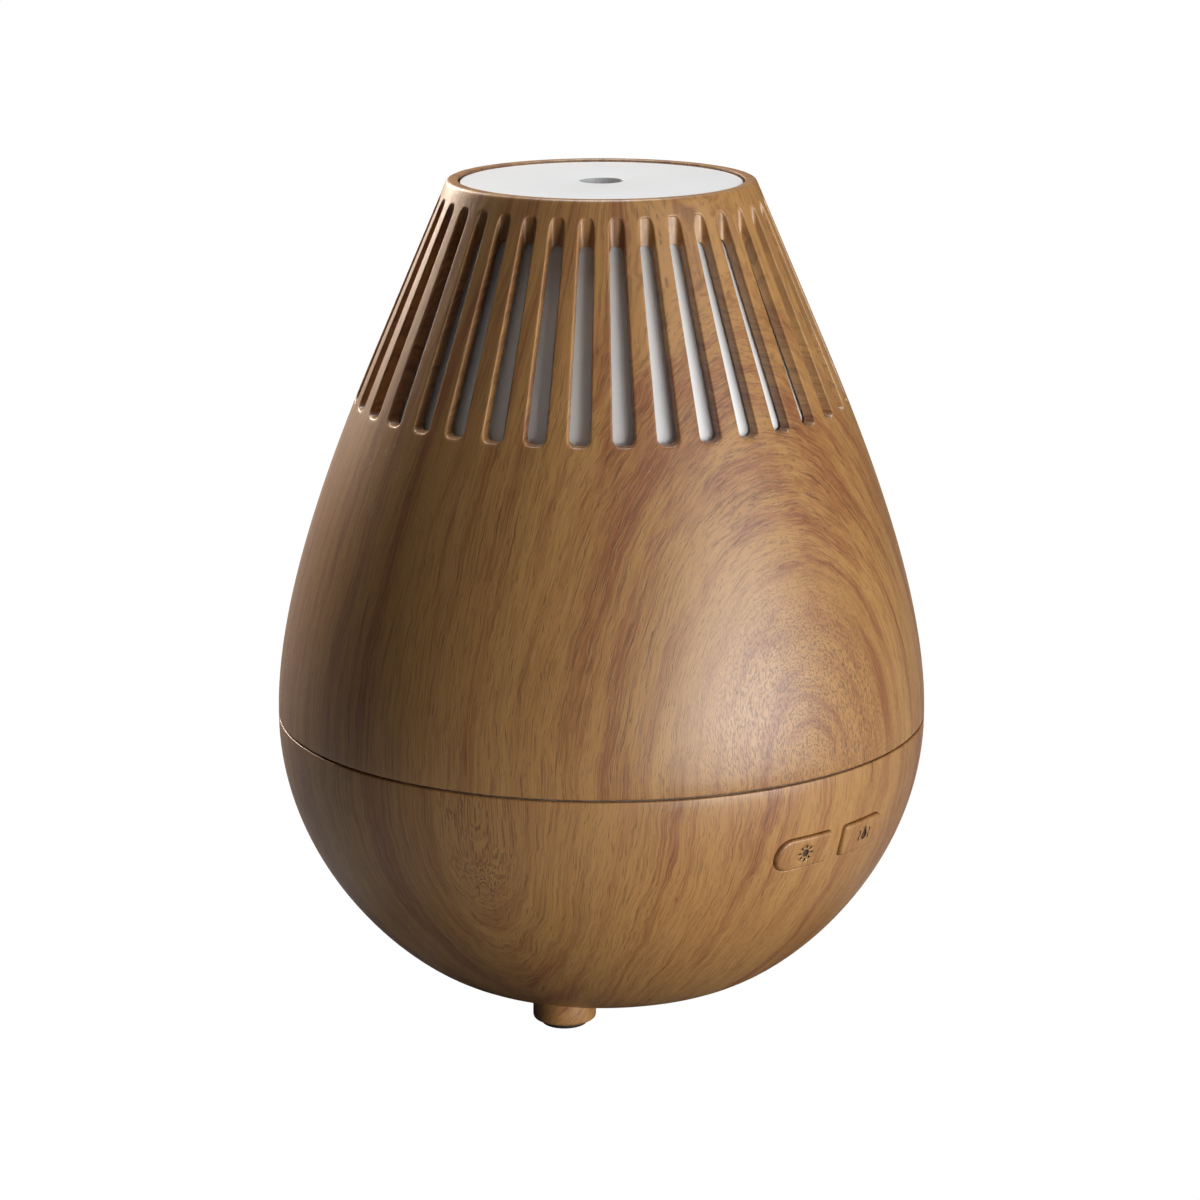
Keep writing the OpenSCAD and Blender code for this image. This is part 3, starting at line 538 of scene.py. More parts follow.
WOOD_TAKES: dict[str, float | Colour] = {
    "Light": (0.46, 0.245, 0.084), "Middle": (0.35, 0.165, 0.050), "Red": (0.27, 0.100, 0.036),
    "Dark": (0.095, 0.034, 0.012), "Centre Angle": -7.0, "Centre Height": 57.0,
    "Inner Slope": 0.65, "Outer Slope": 0.42, "Inner Reach": 45.0, "Outer Reach": 75.0,
    "Oval Size": 26.0, "Wave": 3.0, "Seed": 0.0}


def wood_figure_group() -> bpy.types.NodeTree:
    """Printed wood grain that runs in arches about a centre, with pores and short hairs."""
    w, enter, leave = new_group(
        "wood_figure", WOOD_TAKES,
        {"Place": "NodeSocketVector", "Across": "NodeSocketFloat", "Oval": "NodeSocketFloat",
         "Colour": "NodeSocketColor", "Roughness": "NodeSocketFloat",
         "Height": "NodeSocketFloat"})
    place = w.place()
    parts = w.node("SeparateXYZ", {0: place}).outputs
    turn = w.math("ARCTAN2", parts[0], w.math("MULTIPLY", parts[1], -1.0))
    degrees = w.math("MULTIPLY", turn, 180 / math.pi)
    swing = w.math("WRAP", w.math("SUBTRACT", degrees, enter.outputs["Centre Angle"]),
                   180.0, -180.0)
    rise = w.math("ABSOLUTE", w.math("SUBTRACT", w.math("MULTIPLY", parts[2], 1000.0),
                                     enter.outputs["Centre Height"]))
    warp_noise = w.noise(place, 42.0, 2.0)
    warp = w.math("MULTIPLY", w.math("SUBTRACT", warp_noise, 0.5), enter.outputs["Wave"])
    small = w.math("MULTIPLY", w.math("SUBTRACT", w.noise(place, 210.0, 2.0), 0.5),
                   w.math("MULTIPLY", enter.outputs["Wave"], 0.3))

    def length(a: Socket, b: Socket) -> Socket:
        """Length of the vector (a, b)."""
        return w.math("SQRT", w.math("ADD", w.math("MULTIPLY", a, a), w.math("MULTIPLY", b, b)))

    first = length(swing, w.math("MULTIPLY", rise, 0.6))
    slope_node = w.node("MapRange", {
        "Value": first, "From Min": enter.outputs["Inner Reach"],
        "From Max": enter.outputs["Outer Reach"], "To Min": enter.outputs["Inner Slope"],
        "To Max": enter.outputs["Outer Slope"]}, interpolation_type="SMOOTHSTEP")
    lift = w.math("MULTIPLY", rise, slope_node.outputs[0])
    plain = length(swing, lift)
    across = w.math("ADD", w.math("ADD", plain, warp), small)
    bend = w.math("ARCTAN2", w.math("ABSOLUTE", swing), lift)
    along = w.math("MULTIPLY", w.math("MULTIPLY", plain, bend), 1.7)
    side = w.math("ADD", w.math("MULTIPLY", w.math("SINE", w.math("RADIANS", swing)), 3.0),
                  enter.outputs["Seed"])

    def layer(fine: float, long: float, detail: float, shift: float = 0.0) -> Socket:
        """Noise drawn out along the grain."""
        at = w.vector(w.math("MULTIPLY", across, fine), w.math("MULTIPLY", along, long),
                      w.math("ADD", side, shift))
        return w.noise(at, 1.0, detail, 0.55)

    tone = layer(1 / 13.0, 1 / 95.0, 3.0, 11.0)
    bands = layer(1 / 2.6, 1 / 75.0, 4.0, 23.0)
    streaks = layer(1 / 0.5, 1 / 26.0, 3.0, 37.0)
    hairs = layer(1 / 0.2, 1 / 6.0, 2.0, 51.0)
    pores = layer(1 / 0.21, 1 / 2.4, 1.0, 67.0)
    specks = layer(1 / 0.26, 1 / 0.85, 2.0, 83.0)
    oval = w.math("SUBTRACT", 1.0, w.remap(w.math("DIVIDE", plain, enter.outputs["Oval Size"]),
                                           0.55, 1.15))

    ramp = w.node("ValToRGB", {0: w.math("DIVIDE", across, 180.0)})
    ramp.color_ramp.interpolation = "B_SPLINE"
    stops = ((0.0, 0.42), (0.075, 0.36), (0.125, 0.5), (0.165, 0.42), (0.195, 0.8), (0.215, 0.45),
             (0.235, 0.85), (0.256, 1.0), (0.272, 0.8), (0.30, 0.12), (0.335, 0.2), (0.345, 0.6),
             (0.36, 0.25), (0.385, 0.35), (0.41, 0.75), (0.43, 0.5), (0.50, 0.65), (0.55, 0.4),
             (0.62, 0.7), (0.70, 0.35), (0.76, 0.75), (0.86, 0.3), (0.93, 0.7), (1.0, 0.45))
    while len(ramp.color_ramp.elements) < len(stops):
        ramp.color_ramp.elements.new(0.5)
    for element, (at, value) in zip(ramp.color_ramp.elements, stops):
        element.position = at
        element.color = (value, value, value, 1.0)
    figure = w.math("ADD", w.math("MULTIPLY", ramp.outputs[0], 0.55),
                    w.math("MULTIPLY", w.remap(tone, 0.32, 0.68), 0.45))
    base = w.mix(figure, enter.outputs["Light"], enter.outputs["Middle"])
    red = w.math("MULTIPLY", w.remap(bands, 0.44, 0.62), w.remap(figure, 0.25, 0.7, 0.3, 0.95))
    base = w.mix(red, base, enter.outputs["Red"])
    base = w.mix(w.remap(figure, 0.60, 0.82, 0.0, 0.55), base, enter.outputs["Red"])
    calm = w.remap(oval, 0.0, 0.9, 1.0, 0.22)
    line = w.math("MULTIPLY", w.remap(streaks, 0.50, 0.70),
                  w.math("MULTIPLY", w.remap(figure, 0.2, 0.8, 0.16, 0.5), calm))
    base = w.mix(line, base, enter.outputs["Dark"])
    pale = w.math("MULTIPLY", w.math("MULTIPLY", w.remap(hairs, 0.48, 0.66), 0.42), calm)
    base = w.mix(pale, base, enter.outputs["Light"])
    fibre = w.math("MULTIPLY", w.math("MULTIPLY", w.remap(hairs, 0.50, 0.34), 0.30), calm)
    base = w.mix(fibre, base, enter.outputs["Dark"])
    pore = w.math("MULTIPLY", w.math("MULTIPLY", w.remap(pores, 0.58, 0.72), 0.42), calm)
    base = w.mix(pore, base, enter.outputs["Dark"])
    speck = w.math("MULTIPLY", w.math("MULTIPLY", w.remap(specks, 0.46, 0.62), oval), 0.6)
    base = w.mix(speck, base, enter.outputs["Dark"])
    depth = w.math("ADD", pore, w.math("ADD", w.math("MULTIPLY", speck, 0.6),
                                       w.math("MULTIPLY", line, 0.35)))
    height = w.math("SUBTRACT", 1.0, depth)
    rough = w.math("ADD", w.remap(w.noise(place, 900.0, 2.0), 0.3, 0.7, 0.40, 0.46),
                   w.math("MULTIPLY", depth, 0.12))
    for key, value in (("Place", place), ("Across", across), ("Oval", oval), ("Colour", base),
                       ("Roughness", rough), ("Height", height)):
        w.put(leave.inputs[key], value)
    return w.tree


# ---------------------------------------------------------------- finishes

class Groups:
    """The shader node groups that the finishes share and the materials made so far."""

    def __init__(self) -> None:
        """Builds the groups."""
        self.made: dict[str, bpy.types.Material] = {}
        self.mould = mould_grain_group()
        self.dust = settled_dust_group()
        self.wood = wood_figure_group()


class Finish:
    """Base of the finishes: makes a material once and keeps it."""

    name: str

    def material(self, groups: Groups) -> bpy.types.Material:
        """The finish's material."""
        found = groups.made.get(self.name)
        if found is None:
            found = bpy.data.materials.new(f"{self.name}_finish")
            groups.made[self.name] = found
            found.use_nodes = True
            found.node_tree.nodes.clear()
            wiring = Wiring(found.node_tree)
            shader = wiring.node("BsdfPrincipled")
            leave = wiring.node("OutputMaterial")
            wiring.put(leave.inputs["Surface"], shader.outputs[0])
            self.wire(wiring, shader, groups)
        return found

    def wire(self, wiring: Wiring, shader: bpy.types.Node, groups: Groups) -> None:
        """Joins the finish's nodes to its shader."""
        raise NotImplementedError


def place_group(wiring: Wiring, tree: bpy.types.NodeTree,
                values: dict[str, "Value"]) -> bpy.types.NodeOutputs:
    """Places a node group in a material.

    Args:
        wiring: the material's wiring.
        tree: the group.
        values: values for its inputs.

    Returns:
        The group's outputs.
    """
    made = wiring.node("Group")
    made.node_tree = tree
    for key, value in values.items():
        wiring.put(made.inputs[key], value)
    return made.outputs


def bump(wiring: Wiring, height: Socket, strength: float, distance: float) -> Socket:
    """A normal from a height."""
    return wiring.node("Bump", {"Height": height, "Strength": strength,
                                "Distance": distance}).outputs[0]


@dataclass(frozen=True)
class WoodFilm(Finish):
    """Satin film printed with wood grain."""

    name: str
    values: dict[str, float | Colour] = field(default_factory=dict)
    coat: float = 0.6

    def wire(self, wiring: Wiring, shader: bpy.types.Node, groups: Groups) -> None:
        """Joins the grain to the shader under a thin satin coat."""
        out = place_group(wiring, groups.wood, dict(self.values))
        wiring.put(shader.inputs["Base Color"], out["Colour"])
        wiring.put(shader.inputs["Roughness"], out["Roughness"])
        wiring.put(shader.inputs["Normal"], bump(wiring, out["Height"], 0.35, 0.00012))
        shader.inputs["Coat Weight"].default_value = self.coat
        shader.inputs["Coat Roughness"].default_value = 0.42
        shader.inputs["Specular IOR Level"].default_value = 0.5


@dataclass(frozen=True)
class Moulded(Finish):
    """Moulded, cast or drawn material with a fine surface."""

    name: str
    colour: Colour
    roughness: float = 0.4
    metallic: float = 0.0
    scale: float = 900.0
    stretch: float = 1.0
    tone_spread: float = 0.08
    relief: float = 0.00002
    dust: float = 0.0
    coat: float = 0.0
    soft: float = 0.0
    clear: float = 0.0

    def wire(self, wiring: Wiring, shader: bpy.types.Node, groups: Groups) -> None:
        """Joins fine grain and dust to the shader."""
        out = place_group(wiring, groups.mould, {
            "Scale": self.scale, "Stretch": self.stretch, "Tone Spread": self.tone_spread,
            "Roughness": self.roughness, "Roughness Spread": self.roughness * 0.35})
        tone = wiring.node("CombineColor", {0: out["Tone"], 1: out["Tone"],
                                            2: out["Tone"]}).outputs[0]
        colour = wiring.mix(1.0, self.colour, tone, "MULTIPLY")
        if self.dust > 0:
            mask = place_group(wiring, groups.dust, {"Amount": self.dust})["Mask"]
            colour = wiring.mix(mask, colour, (0.42, 0.40, 0.37))
        wiring.put(shader.inputs["Base Color"], colour)
        wiring.put(shader.inputs["Roughness"], out["Roughness"])
        wiring.put(shader.inputs["Normal"], bump(wiring, out["Height"], 0.4, self.relief))
        shader.inputs["Metallic"].default_value = self.metallic
        shader.inputs["Coat Weight"].default_value = self.coat
        shader.inputs["Coat Roughness"].default_value = 0.2
        shader.inputs["Subsurface Weight"].default_value = self.soft
        shader.inputs["Subsurface Radius"].default_value = (1.0, 1.0, 1.0)
        shader.inputs["Subsurface Scale"].default_value = 0.002
        shader.inputs["Transmission Weight"].default_value = self.clear


@dataclass(frozen=True)
class BoardLacquer(Finish):
    """Green lacquer over copper tracks, with tinned spots."""

    name: str = "board_lacquer"

    def wire(self, wiring: Wiring, shader: bpy.types.Node, groups: Groups) -> None:
        """Joins tracks, tinned spots and dust to the shader."""
        place = wiring.place()
        tracks = wiring.node("TexBrick", {
            "Vector": place, "Scale": 260.0, "Mortar Size": 0.035, "Mortar Smooth": 0.2,
            "Color1": (0.0, 0.0, 0.0), "Color2": (0.12, 0.12, 0.12), "Mortar": (1.0, 1.0, 1.0)})
        cells = wiring.node("TexVoronoi", {"Vector": place, "Scale": 420.0})
        spots = wiring.remap(cells.outputs["Distance"], 0.16, 0.12)
        colour = wiring.mix(tracks.outputs[0], (0.008, 0.095, 0.035), (0.03, 0.20, 0.07))
        colour = wiring.mix(spots, colour, (0.62, 0.62, 0.60))
        dust = place_group(wiring, groups.dust, {"Amount": 0.25})["Mask"]
        wiring.put(shader.inputs["Base Color"], wiring.mix(dust, colour, (0.4, 0.39, 0.36)))
        wiring.put(shader.inputs["Metallic"], wiring.math("MULTIPLY", spots, 0.9))
        wiring.put(shader.inputs["Roughness"], wiring.remap(spots, 0.0, 1.0, 0.32, 0.24))
        height = wiring.math("ADD", tracks.outputs[1], spots)
        wiring.put(shader.inputs["Normal"], bump(wiring, height, 0.5, 0.00004))


@dataclass(frozen=True)
class Winding(Finish):
    """Enamelled copper wire wound in layers."""

    name: str = "winding"

    def wire(self, wiring: Wiring, shader: bpy.types.Node, groups: Groups) -> None:
        """Joins the turns of the wire to the shader, with painted shade in the grooves between
        turns.
        """
        turns = wiring.node("TexWave", {"Vector": wiring.place(), "Scale": 620.0,
                                        "Distortion": 1.2, "Detail": 1.0, "Detail Scale": 2.0},
                            bands_direction="Z")
        # The colour follows the bump: the dark copper in the grooves between turns is painted
        # shade.
        colour = wiring.mix(turns.outputs[1], (0.20, 0.065, 0.025), (0.72, 0.32, 0.15))
        wiring.put(shader.inputs["Base Color"], colour)
        wiring.put(shader.inputs["Roughness"], wiring.remap(turns.outputs[1], 0, 1, 0.42, 0.24))
        wiring.put(shader.inputs["Normal"], bump(wiring, turns.outputs[1], 0.8, 0.0001))
        shader.inputs["Metallic"].default_value = 0.9
        shader.inputs["Coat Weight"].default_value = 0.4


class Slot(Enum):
    """Material slots of the record and the finish that each one gets."""

    WOOD_COVER = WoodFilm("wood_film_cover", {})
    WOOD_BASE = WoodFilm("wood_film_base", {
        "Centre Angle": -66.0, "Centre Height": 60.0, "Inner Slope": 0.2, "Outer Slope": 0.72,
        "Inner Reach": 4.0, "Outer Reach": 62.0, "Oval Size": 9.0, "Wave": 5.0, "Seed": 5.0})
    # The pictogram's cut gets wood colours about four times darker than the face: painted shade in
    # the engraving.
    MARK_SHADE = WoodFilm("engraving_painted_shade", {
        "Light": (0.10, 0.055, 0.025), "Middle": (0.07, 0.035, 0.016),
        "Red": (0.06, 0.028, 0.012), "Dark": (0.03, 0.014, 0.007)})
    WHITE = Moulded("white_satin", (0.92, 0.94, 0.96), 0.34, relief=0.000012, coat=0.2)
    MILKY = Moulded("milky_plastic", (0.84, 0.86, 0.88), 0.34, relief=0.00001, coat=0.3)
    TANK = Moulded("tank_plastic", (0.78, 0.79, 0.78), 0.36, soft=0.1)
    RUBBER = Moulded("rubber", (0.018, 0.018, 0.018), 0.72, scale=1500.0, relief=0.00005,
                     tone_spread=0.4, dust=0.12)
    GREY_RUBBER = Moulded("grey_rubber", (0.16, 0.165, 0.17), 0.65, scale=1400.0,
                          relief=0.00004, dust=0.1)
    STEEL = Moulded("steel", (0.56, 0.57, 0.58), 0.28, 1.0, 1200.0, 0.15, 0.2)
    ALUMINIUM = Moulded("aluminium", (0.70, 0.71, 0.72), 0.36, 1.0, 1600.0, 0.08, 0.16, dust=0.1)
    BLACK = Moulded("black_plastic", (0.02, 0.02, 0.022), 0.44, tone_spread=0.3,
                    relief=0.00003, dust=0.1)
    BOARD = BoardLacquer()
    BRASS = Moulded("brass", (0.72, 0.50, 0.18), 0.26, 1.0, 1000.0, 0.3, 0.2)
    COPPER = Winding()
    CERAMIC = Moulded("ceramic", (0.62, 0.60, 0.52), 0.30, scale=2200.0, tone_spread=0.15,
                      coat=0.3)
    LENS = Moulded("led_lens", (0.86, 0.74, 0.26), 0.22, scale=1800.0, tone_spread=0.25,
                   coat=0.5, soft=0.2)
    NYLON = Moulded("nylon", (0.74, 0.71, 0.62), 0.46, soft=0.15, dust=0.15)
    RED_WIRE = Moulded("red_wire", (0.42, 0.02, 0.015), 0.38, tone_spread=0.2)
    BLACK_WIRE = Moulded("black_wire", (0.015, 0.015, 0.017), 0.38, tone_spread=0.3)
    GREY_WIRE = Moulded("grey_wire", (0.22, 0.23, 0.24), 0.38, tone_spread=0.2)


RECORD_SLOTS: dict[str, Slot] = {
    "wood_film": Slot.WOOD_BASE, "white_satin": Slot.WHITE, "milky_plastic": Slot.MILKY,
    "tank_plastic": Slot.TANK, "rubber": Slot.RUBBER, "grey_rubber": Slot.GREY_RUBBER,
    "steel": Slot.STEEL, "aluminium": Slot.ALUMINIUM, "black_plastic": Slot.BLACK,
    "board": Slot.BOARD, "brass": Slot.BRASS, "copper": Slot.COPPER, "ceramic": Slot.CERAMIC,
    "led_lens": Slot.LENS, "nylon": Slot.NYLON, "red_wire": Slot.RED_WIRE,
    "black_wire": Slot.BLACK_WIRE, "grey_wire": Slot.GREY_WIRE}


class Assembly:
    """Base of the sub-assemblies: knows the frame and the shared shader groups."""

    def __init__(self, frame: dict, groups: Groups) -> None:
        """Keeps the frame and the groups."""
        self.frame, self.groups = frame, groups

    def dress(self, made: bpy.types.Object, body: str, slot: str, *nodes: str) -> None:
        """Rides a piece on its body and lets it stand for its solids."""
        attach(made, body)
        if nodes:
            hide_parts(*nodes)
        log.info("%s: %d faces on %s", made.name, len(made.data.polygons), body)


# ---------------------------------------------------------------- the cover

@dataclass
class CoverShell:
    """The lift-off cover with its ring of slots."""

    slots: int = 36
    slot_angle: float = 5.0
    foot: float = 116.2
    inner_radius: float = 30.35
    foot_corner: float = 1.3
    top_corner: float = 0.85
    patch_low: float = 113.4
    patch_high: float = 156.4
    inner_high: float = 151.6
    easing: float = 0.32
    side_steps: int = 18
    rim: float = 0.9
    ledge: tuple[float, float, float] = (24.4, 153.7, 155.6)

    def slot_loop(self, inset: float) -> Points:
        """The slot's outline on the face at that inset, as (angle, height) rows."""
        outline = BODY.cover
        half = math.radians(self.slot_angle / 2)
        top_z = np.linspace(self.foot + 20, BODY.height, 500)
        top_r = outline.radius(top_z, inset)
        width = self.inner_radius * half
        corner = self.top_corner

        def crown(t: float) -> tuple[float, float]:
            """Place on the arched upper end at a sideways distance."""
            over = max(abs(t) - (width - corner), 0.0)
            r = self.inner_radius + corner - math.sqrt(max(corner ** 2 - over ** 2, 0.0))
            return t / self.inner_radius, float(np.interp(-r, -top_r, top_z))

        at = [math.sin(math.radians(a)) for a in (0, 22.5, 45, 67.5, 90)]
        flat = width - corner
        arch = [flat + corner * s for s in at]
        r_foot = float(outline.radius(self.foot + 1, inset))
        c, span = self.foot_corner, half * r_foot
        round_foot = [((span - c + c * math.sin(a)) / r_foot, self.foot + c - c * math.cos(a))
                      for a in np.radians([0, 22.5, 45, 67.5, 90])]
        straight_low, straight_high = self.foot + c, crown(width)[1]
        n_side = self.side_steps - 4
        side = [(half, straight_low + (straight_high - straight_low) * k / n_side)
                for k in range(1, n_side)]
        foot_flat = [((span - c) / r_foot * k / 4, self.foot) for k in range(-4, 5)]
        foot_row = ([(-a, z) for a, z in round_foot[2:0:-1]] + foot_flat + round_foot[1:2])
        right = round_foot[2:] + side + [crown(arch[4]), crown(arch[3])]
        top = ([crown(arch[2]), crown(arch[1])] + [crown(flat * k / 4) for k in range(4, -5, -1)]
               + [crown(-arch[1])])
        left = ([crown(-arch[2]), crown(-arch[3]), crown(-arch[4])]
                + [(-a, z) for a, z in side[::-1]] + [(-a, z) for a, z in round_foot[:2:-1]])
        return np.array(foot_row + right + top + left)

    def build(self) -> Draft:
        """Builds the shell."""
        draft = Draft()
        outline = BODY.cover
        outer_loop, inner_loop = self.slot_loop(0.0), self.slot_loop(BODY.cover_wall)
        step = 2 * math.pi / self.slots
        columns = np.linspace(-step / 2, step / 2, 13)
        foot_n = 12
        rows = len(outer_loop) // 2 - foot_n
        side = outer_loop[foot_n:foot_n + rows + 1, 1]
        share = (side - side[0]) / (side[-1] - side[0])
        outer_rows = self.patch_low + share * (self.patch_high - self.patch_low)
        inner_rows = self.patch_low + share * (self.inner_high - self.patch_low)
        for k in range(self.slots):
            turn = np.array([k * step, 0.0])
            Port(outline, BODY.cover_wall, outer_loop + turn, inner_loop + turn,
                 columns + k * step, outer_rows, inner_rows, self.easing).build(draft)
        self.build_walls(draft, outline)
        return draft

    def build_walls(self, draft: Draft, outline: Outline) -> None:
        """Adds the turned wall below and above the slots, the rim and the ledge."""
        n = self.slots * 12
        angle = np.linspace(0, 2 * math.pi, n, endpoint=False)

        def turn(profile: Points) -> None:
            """Turns a profile on the slots' own columns."""
            draft.sheet(polar(angle[None, :], profile[:, :1], profile[:, 1:2]), True)

        z = np.linspace(BODY.cover_foot, self.patch_low, 42)
        outer = np.stack([outline.radius(z), z], 1)
        inner = np.stack([outline.radius(z, BODY.cover_wall), z], 1)
        foot = [(*inner[2],), (inner[0][0], BODY.cover_foot, 0.25),
                (outer[0][0], BODY.cover_foot, 0.3), (*outer[2],)]
        turn(np.vstack([inner[::-1][:-2], eased(foot), outer[3:]]))
        top, tan = BODY.top_radius, math.tan(math.radians(BODY.cone_tilt))
        shift = BODY.cover_wall / math.cos(math.radians(BODY.cone_tilt))
        high = float(outline.radius(self.patch_high))
        ledge_r, ledge_z, ledge_top = self.ledge
        wall_top = top - shift + (BODY.height - ledge_top) * tan
        wall_low = top - shift + (BODY.height - ledge_z) * tan
        low = float(outline.radius(self.inner_high, BODY.cover_wall))
        turn(eased([(high, self.patch_high), (top, BODY.height, self.rim),
                    (top - shift, BODY.height, 0.35), (wall_top, ledge_top),
                    (ledge_r, ledge_top, 0.25), (ledge_r, ledge_z, 0.2), (wall_low, ledge_z, 0.3),
                    (low, self.inner_high)], 4))


@dataclass
class TopDisc:
    """White disc with the mist outlet, its collar and its screw bosses."""

    radius: float = 26.6
    top: float = 157.6
    low: float = 155.6
    hole: float = 4.15
    collar: tuple[float, float, float] = (6.6, 8.2, 150.6)
    boss: tuple[float, float, float] = (2.4, 153.7, 20.8)

    def build(self) -> Draft:
        """Builds the disc."""
        draft = Draft()
        inner, outer, foot = self.collar
        ring = [(15.0, self.top), (self.radius, self.top, 0.5), (self.radius, self.low, 0.2),
                (outer, self.low, 0.2), (outer, foot, 0.25), (inner, foot, 0.25),
                (inner, self.low, 0.1), (self.hole, self.low, 0.1), (self.hole, self.top, 0.12),
                (15.0, self.top)]
        draft.revolve(eased(ring, 4)[:-1], 144, closed=True)
        size, foot, away = self.boss
        for k in range(3):
            a = math.radians(120 * k)
            profile = eased([(0, foot), (size, foot, 0.2), (size, self.low + 0.2),
                             (0, self.low + 0.2)])
            draft.bar(profile, (away * math.sin(a), -away * math.cos(a), 0.0), columns=24)
        return draft


@dataclass
class Diffuser:
    """Milky liner behind the slots, with the flange that carries the disc's screws."""

    inset: float = 2.6
    wall: float = 1.6
    foot: float = 108.7
    top: float = 153.7
    flange_inner: float = 18.5
    flange_low: float = 151.7

    def build(self) -> Draft:
        """Builds the liner."""
        outline, draft = BODY.cover, Draft()
        z = np.linspace(self.foot, self.top, 30)
        outer = [(float(outline.radius(h, self.inset)), float(h)) for h in z]
        deep = self.inset + self.wall
        inner = [(float(outline.radius(h, deep)), float(h))
                 for h in np.linspace(self.flange_low, self.foot, 30)]
        ring = (outer[1:-1] + [(*outer[-1], 0.3), (self.flange_inner, self.top, 0.3),
                               (self.flange_inner, self.flange_low, 0.3), (*inner[0], 0.5)]
                + inner[1:-1] + [(*inner[-1], 0.4), (*outer[0], 0.4), outer[1]])
        draft.revolve(eased(ring)[:-1], 144, closed=True)
        return draft


@dataclass
class Funnel:
    """Mist funnel under the outlet."""

    curve: tuple[tuple[float, float], ...] = ((30.0, 95.6), (16.0, 111.6), (6.6, 119.6),
                                              (6.6, 133.6))
    wall: float = 1.4
    top: float = 155.6

    def build(self) -> Draft:
        """Builds the funnel."""
        outline, draft = Outline(self.curve), Draft()
        outer = [tuple(row) for row in outline.points(0.0, 28)]
        inner = [tuple(row) for row in outline.points(self.wall, 28)][::-1]
        tube, bore = outer[-1][0], inner[0][0]
        ring = (outer[1:] + [(tube, self.top, 0.25), (bore, self.top, 0.25)] + inner[:-1]
                + [(*inner[-1], 0.4), (*outer[0], 0.4), outer[1]])
        draft.revolve(eased(ring)[:-1], 96, closed=True)
        return draft


class Cover(Assembly):
    """The cover and what it carries."""

    def build(self) -> None:
        """Builds and dresses the cover's pieces."""
        for name, draft, finish, slot, node in (
                ("cover_shell", CoverShell().build(), Slot.WOOD_COVER, "wood_film",
                 "outer_cover"),
                ("top_plate", TopDisc().build(), Slot.WHITE, "white_satin", "top_disc"),
                ("slot_liner", Diffuser().build(), Slot.MILKY, "milky_plastic",
                 "light_diffuser"),
                ("mist_chimney", Funnel().build(), Slot.TANK, "tank_plastic", "mist_funnel")):
            made = draft.piece(name, [finish.value.material(self.groups)])
            self.dress(made, "cover", slot, node)


# ---------------------------------------------------------------- the base

@dataclass(frozen=True)
class ButtonShape:
    """Outline of a button, square at its near end and round at its far end."""

    height: float = 41.125
    size: float = 6.2
    near: float = 1.75
    far: float = 14.4
    corner: float = 0.8
    wide: int = 16
    tall: int = 12

    def outline(self, grow: float) -> Points:
        """The outline, as (sideways distance, height) rows, from the near lower corner."""
        half = self.size / 2 + grow
        near, far = self.near - grow, self.far + grow
        c = min(max(self.corner + grow, 0.05), half)
        mid = far - half

        def arc(x: float, z: float, r: float, a: float) -> tuple[float, float]:
            """The point of a circle about (x, z) at an angle in degrees."""
            return x + r * math.cos(math.radians(a)), z + r * math.sin(math.radians(a))

        foot = [arc(near + c, c - half, c, a) for a in (225, 240, 255)]
        foot += [(near + c + (mid - near - c) * k / 7, -half) for k in range(8)]
        foot += [arc(mid, 0, half, -90 + 7.5 * k) for k in range(1, 6)]
        lower = foot + [arc(mid, 0, half, -45 + 7.5 * k) for k in range(7)]
        upper = [(x, -z) for x, z in lower[-2::-1]]
        near_high = [arc(near + c, half - c, c, a) for a in (150, 165, 180)]
        straight = [(near, (half - c) * (1 - k / 3)) for k in range(1, 6)]
        near_low = [arc(near + c, c - half, c, a) for a in (180, 195, 210)]
        rows = lower + upper + near_high + straight + near_low
        return np.array(rows) + np.array([0.0, self.height])

    def on_wall(self, grow: float, inset: float, side: int) -> Points:
        """The outline laid on the base's face at an inset, as points in space."""
        flat = self.outline(grow)
        r = BODY.base.radius(flat[:, 1], inset)
        x = side * flat[:, 0]
        return np.stack([x, -np.sqrt(r ** 2 - x ** 2), flat[:, 1]], 1)

    def as_angles(self, grow: float, inset: float, side: int) -> Points:
        """The outline laid on the base's face, as (angle, height) rows."""
        at = self.on_wall(grow, inset, side)
        return np.stack([np.arctan2(at[:, 0], -at[:, 1]), at[:, 2]], 1)


BUTTON = ButtonShape()


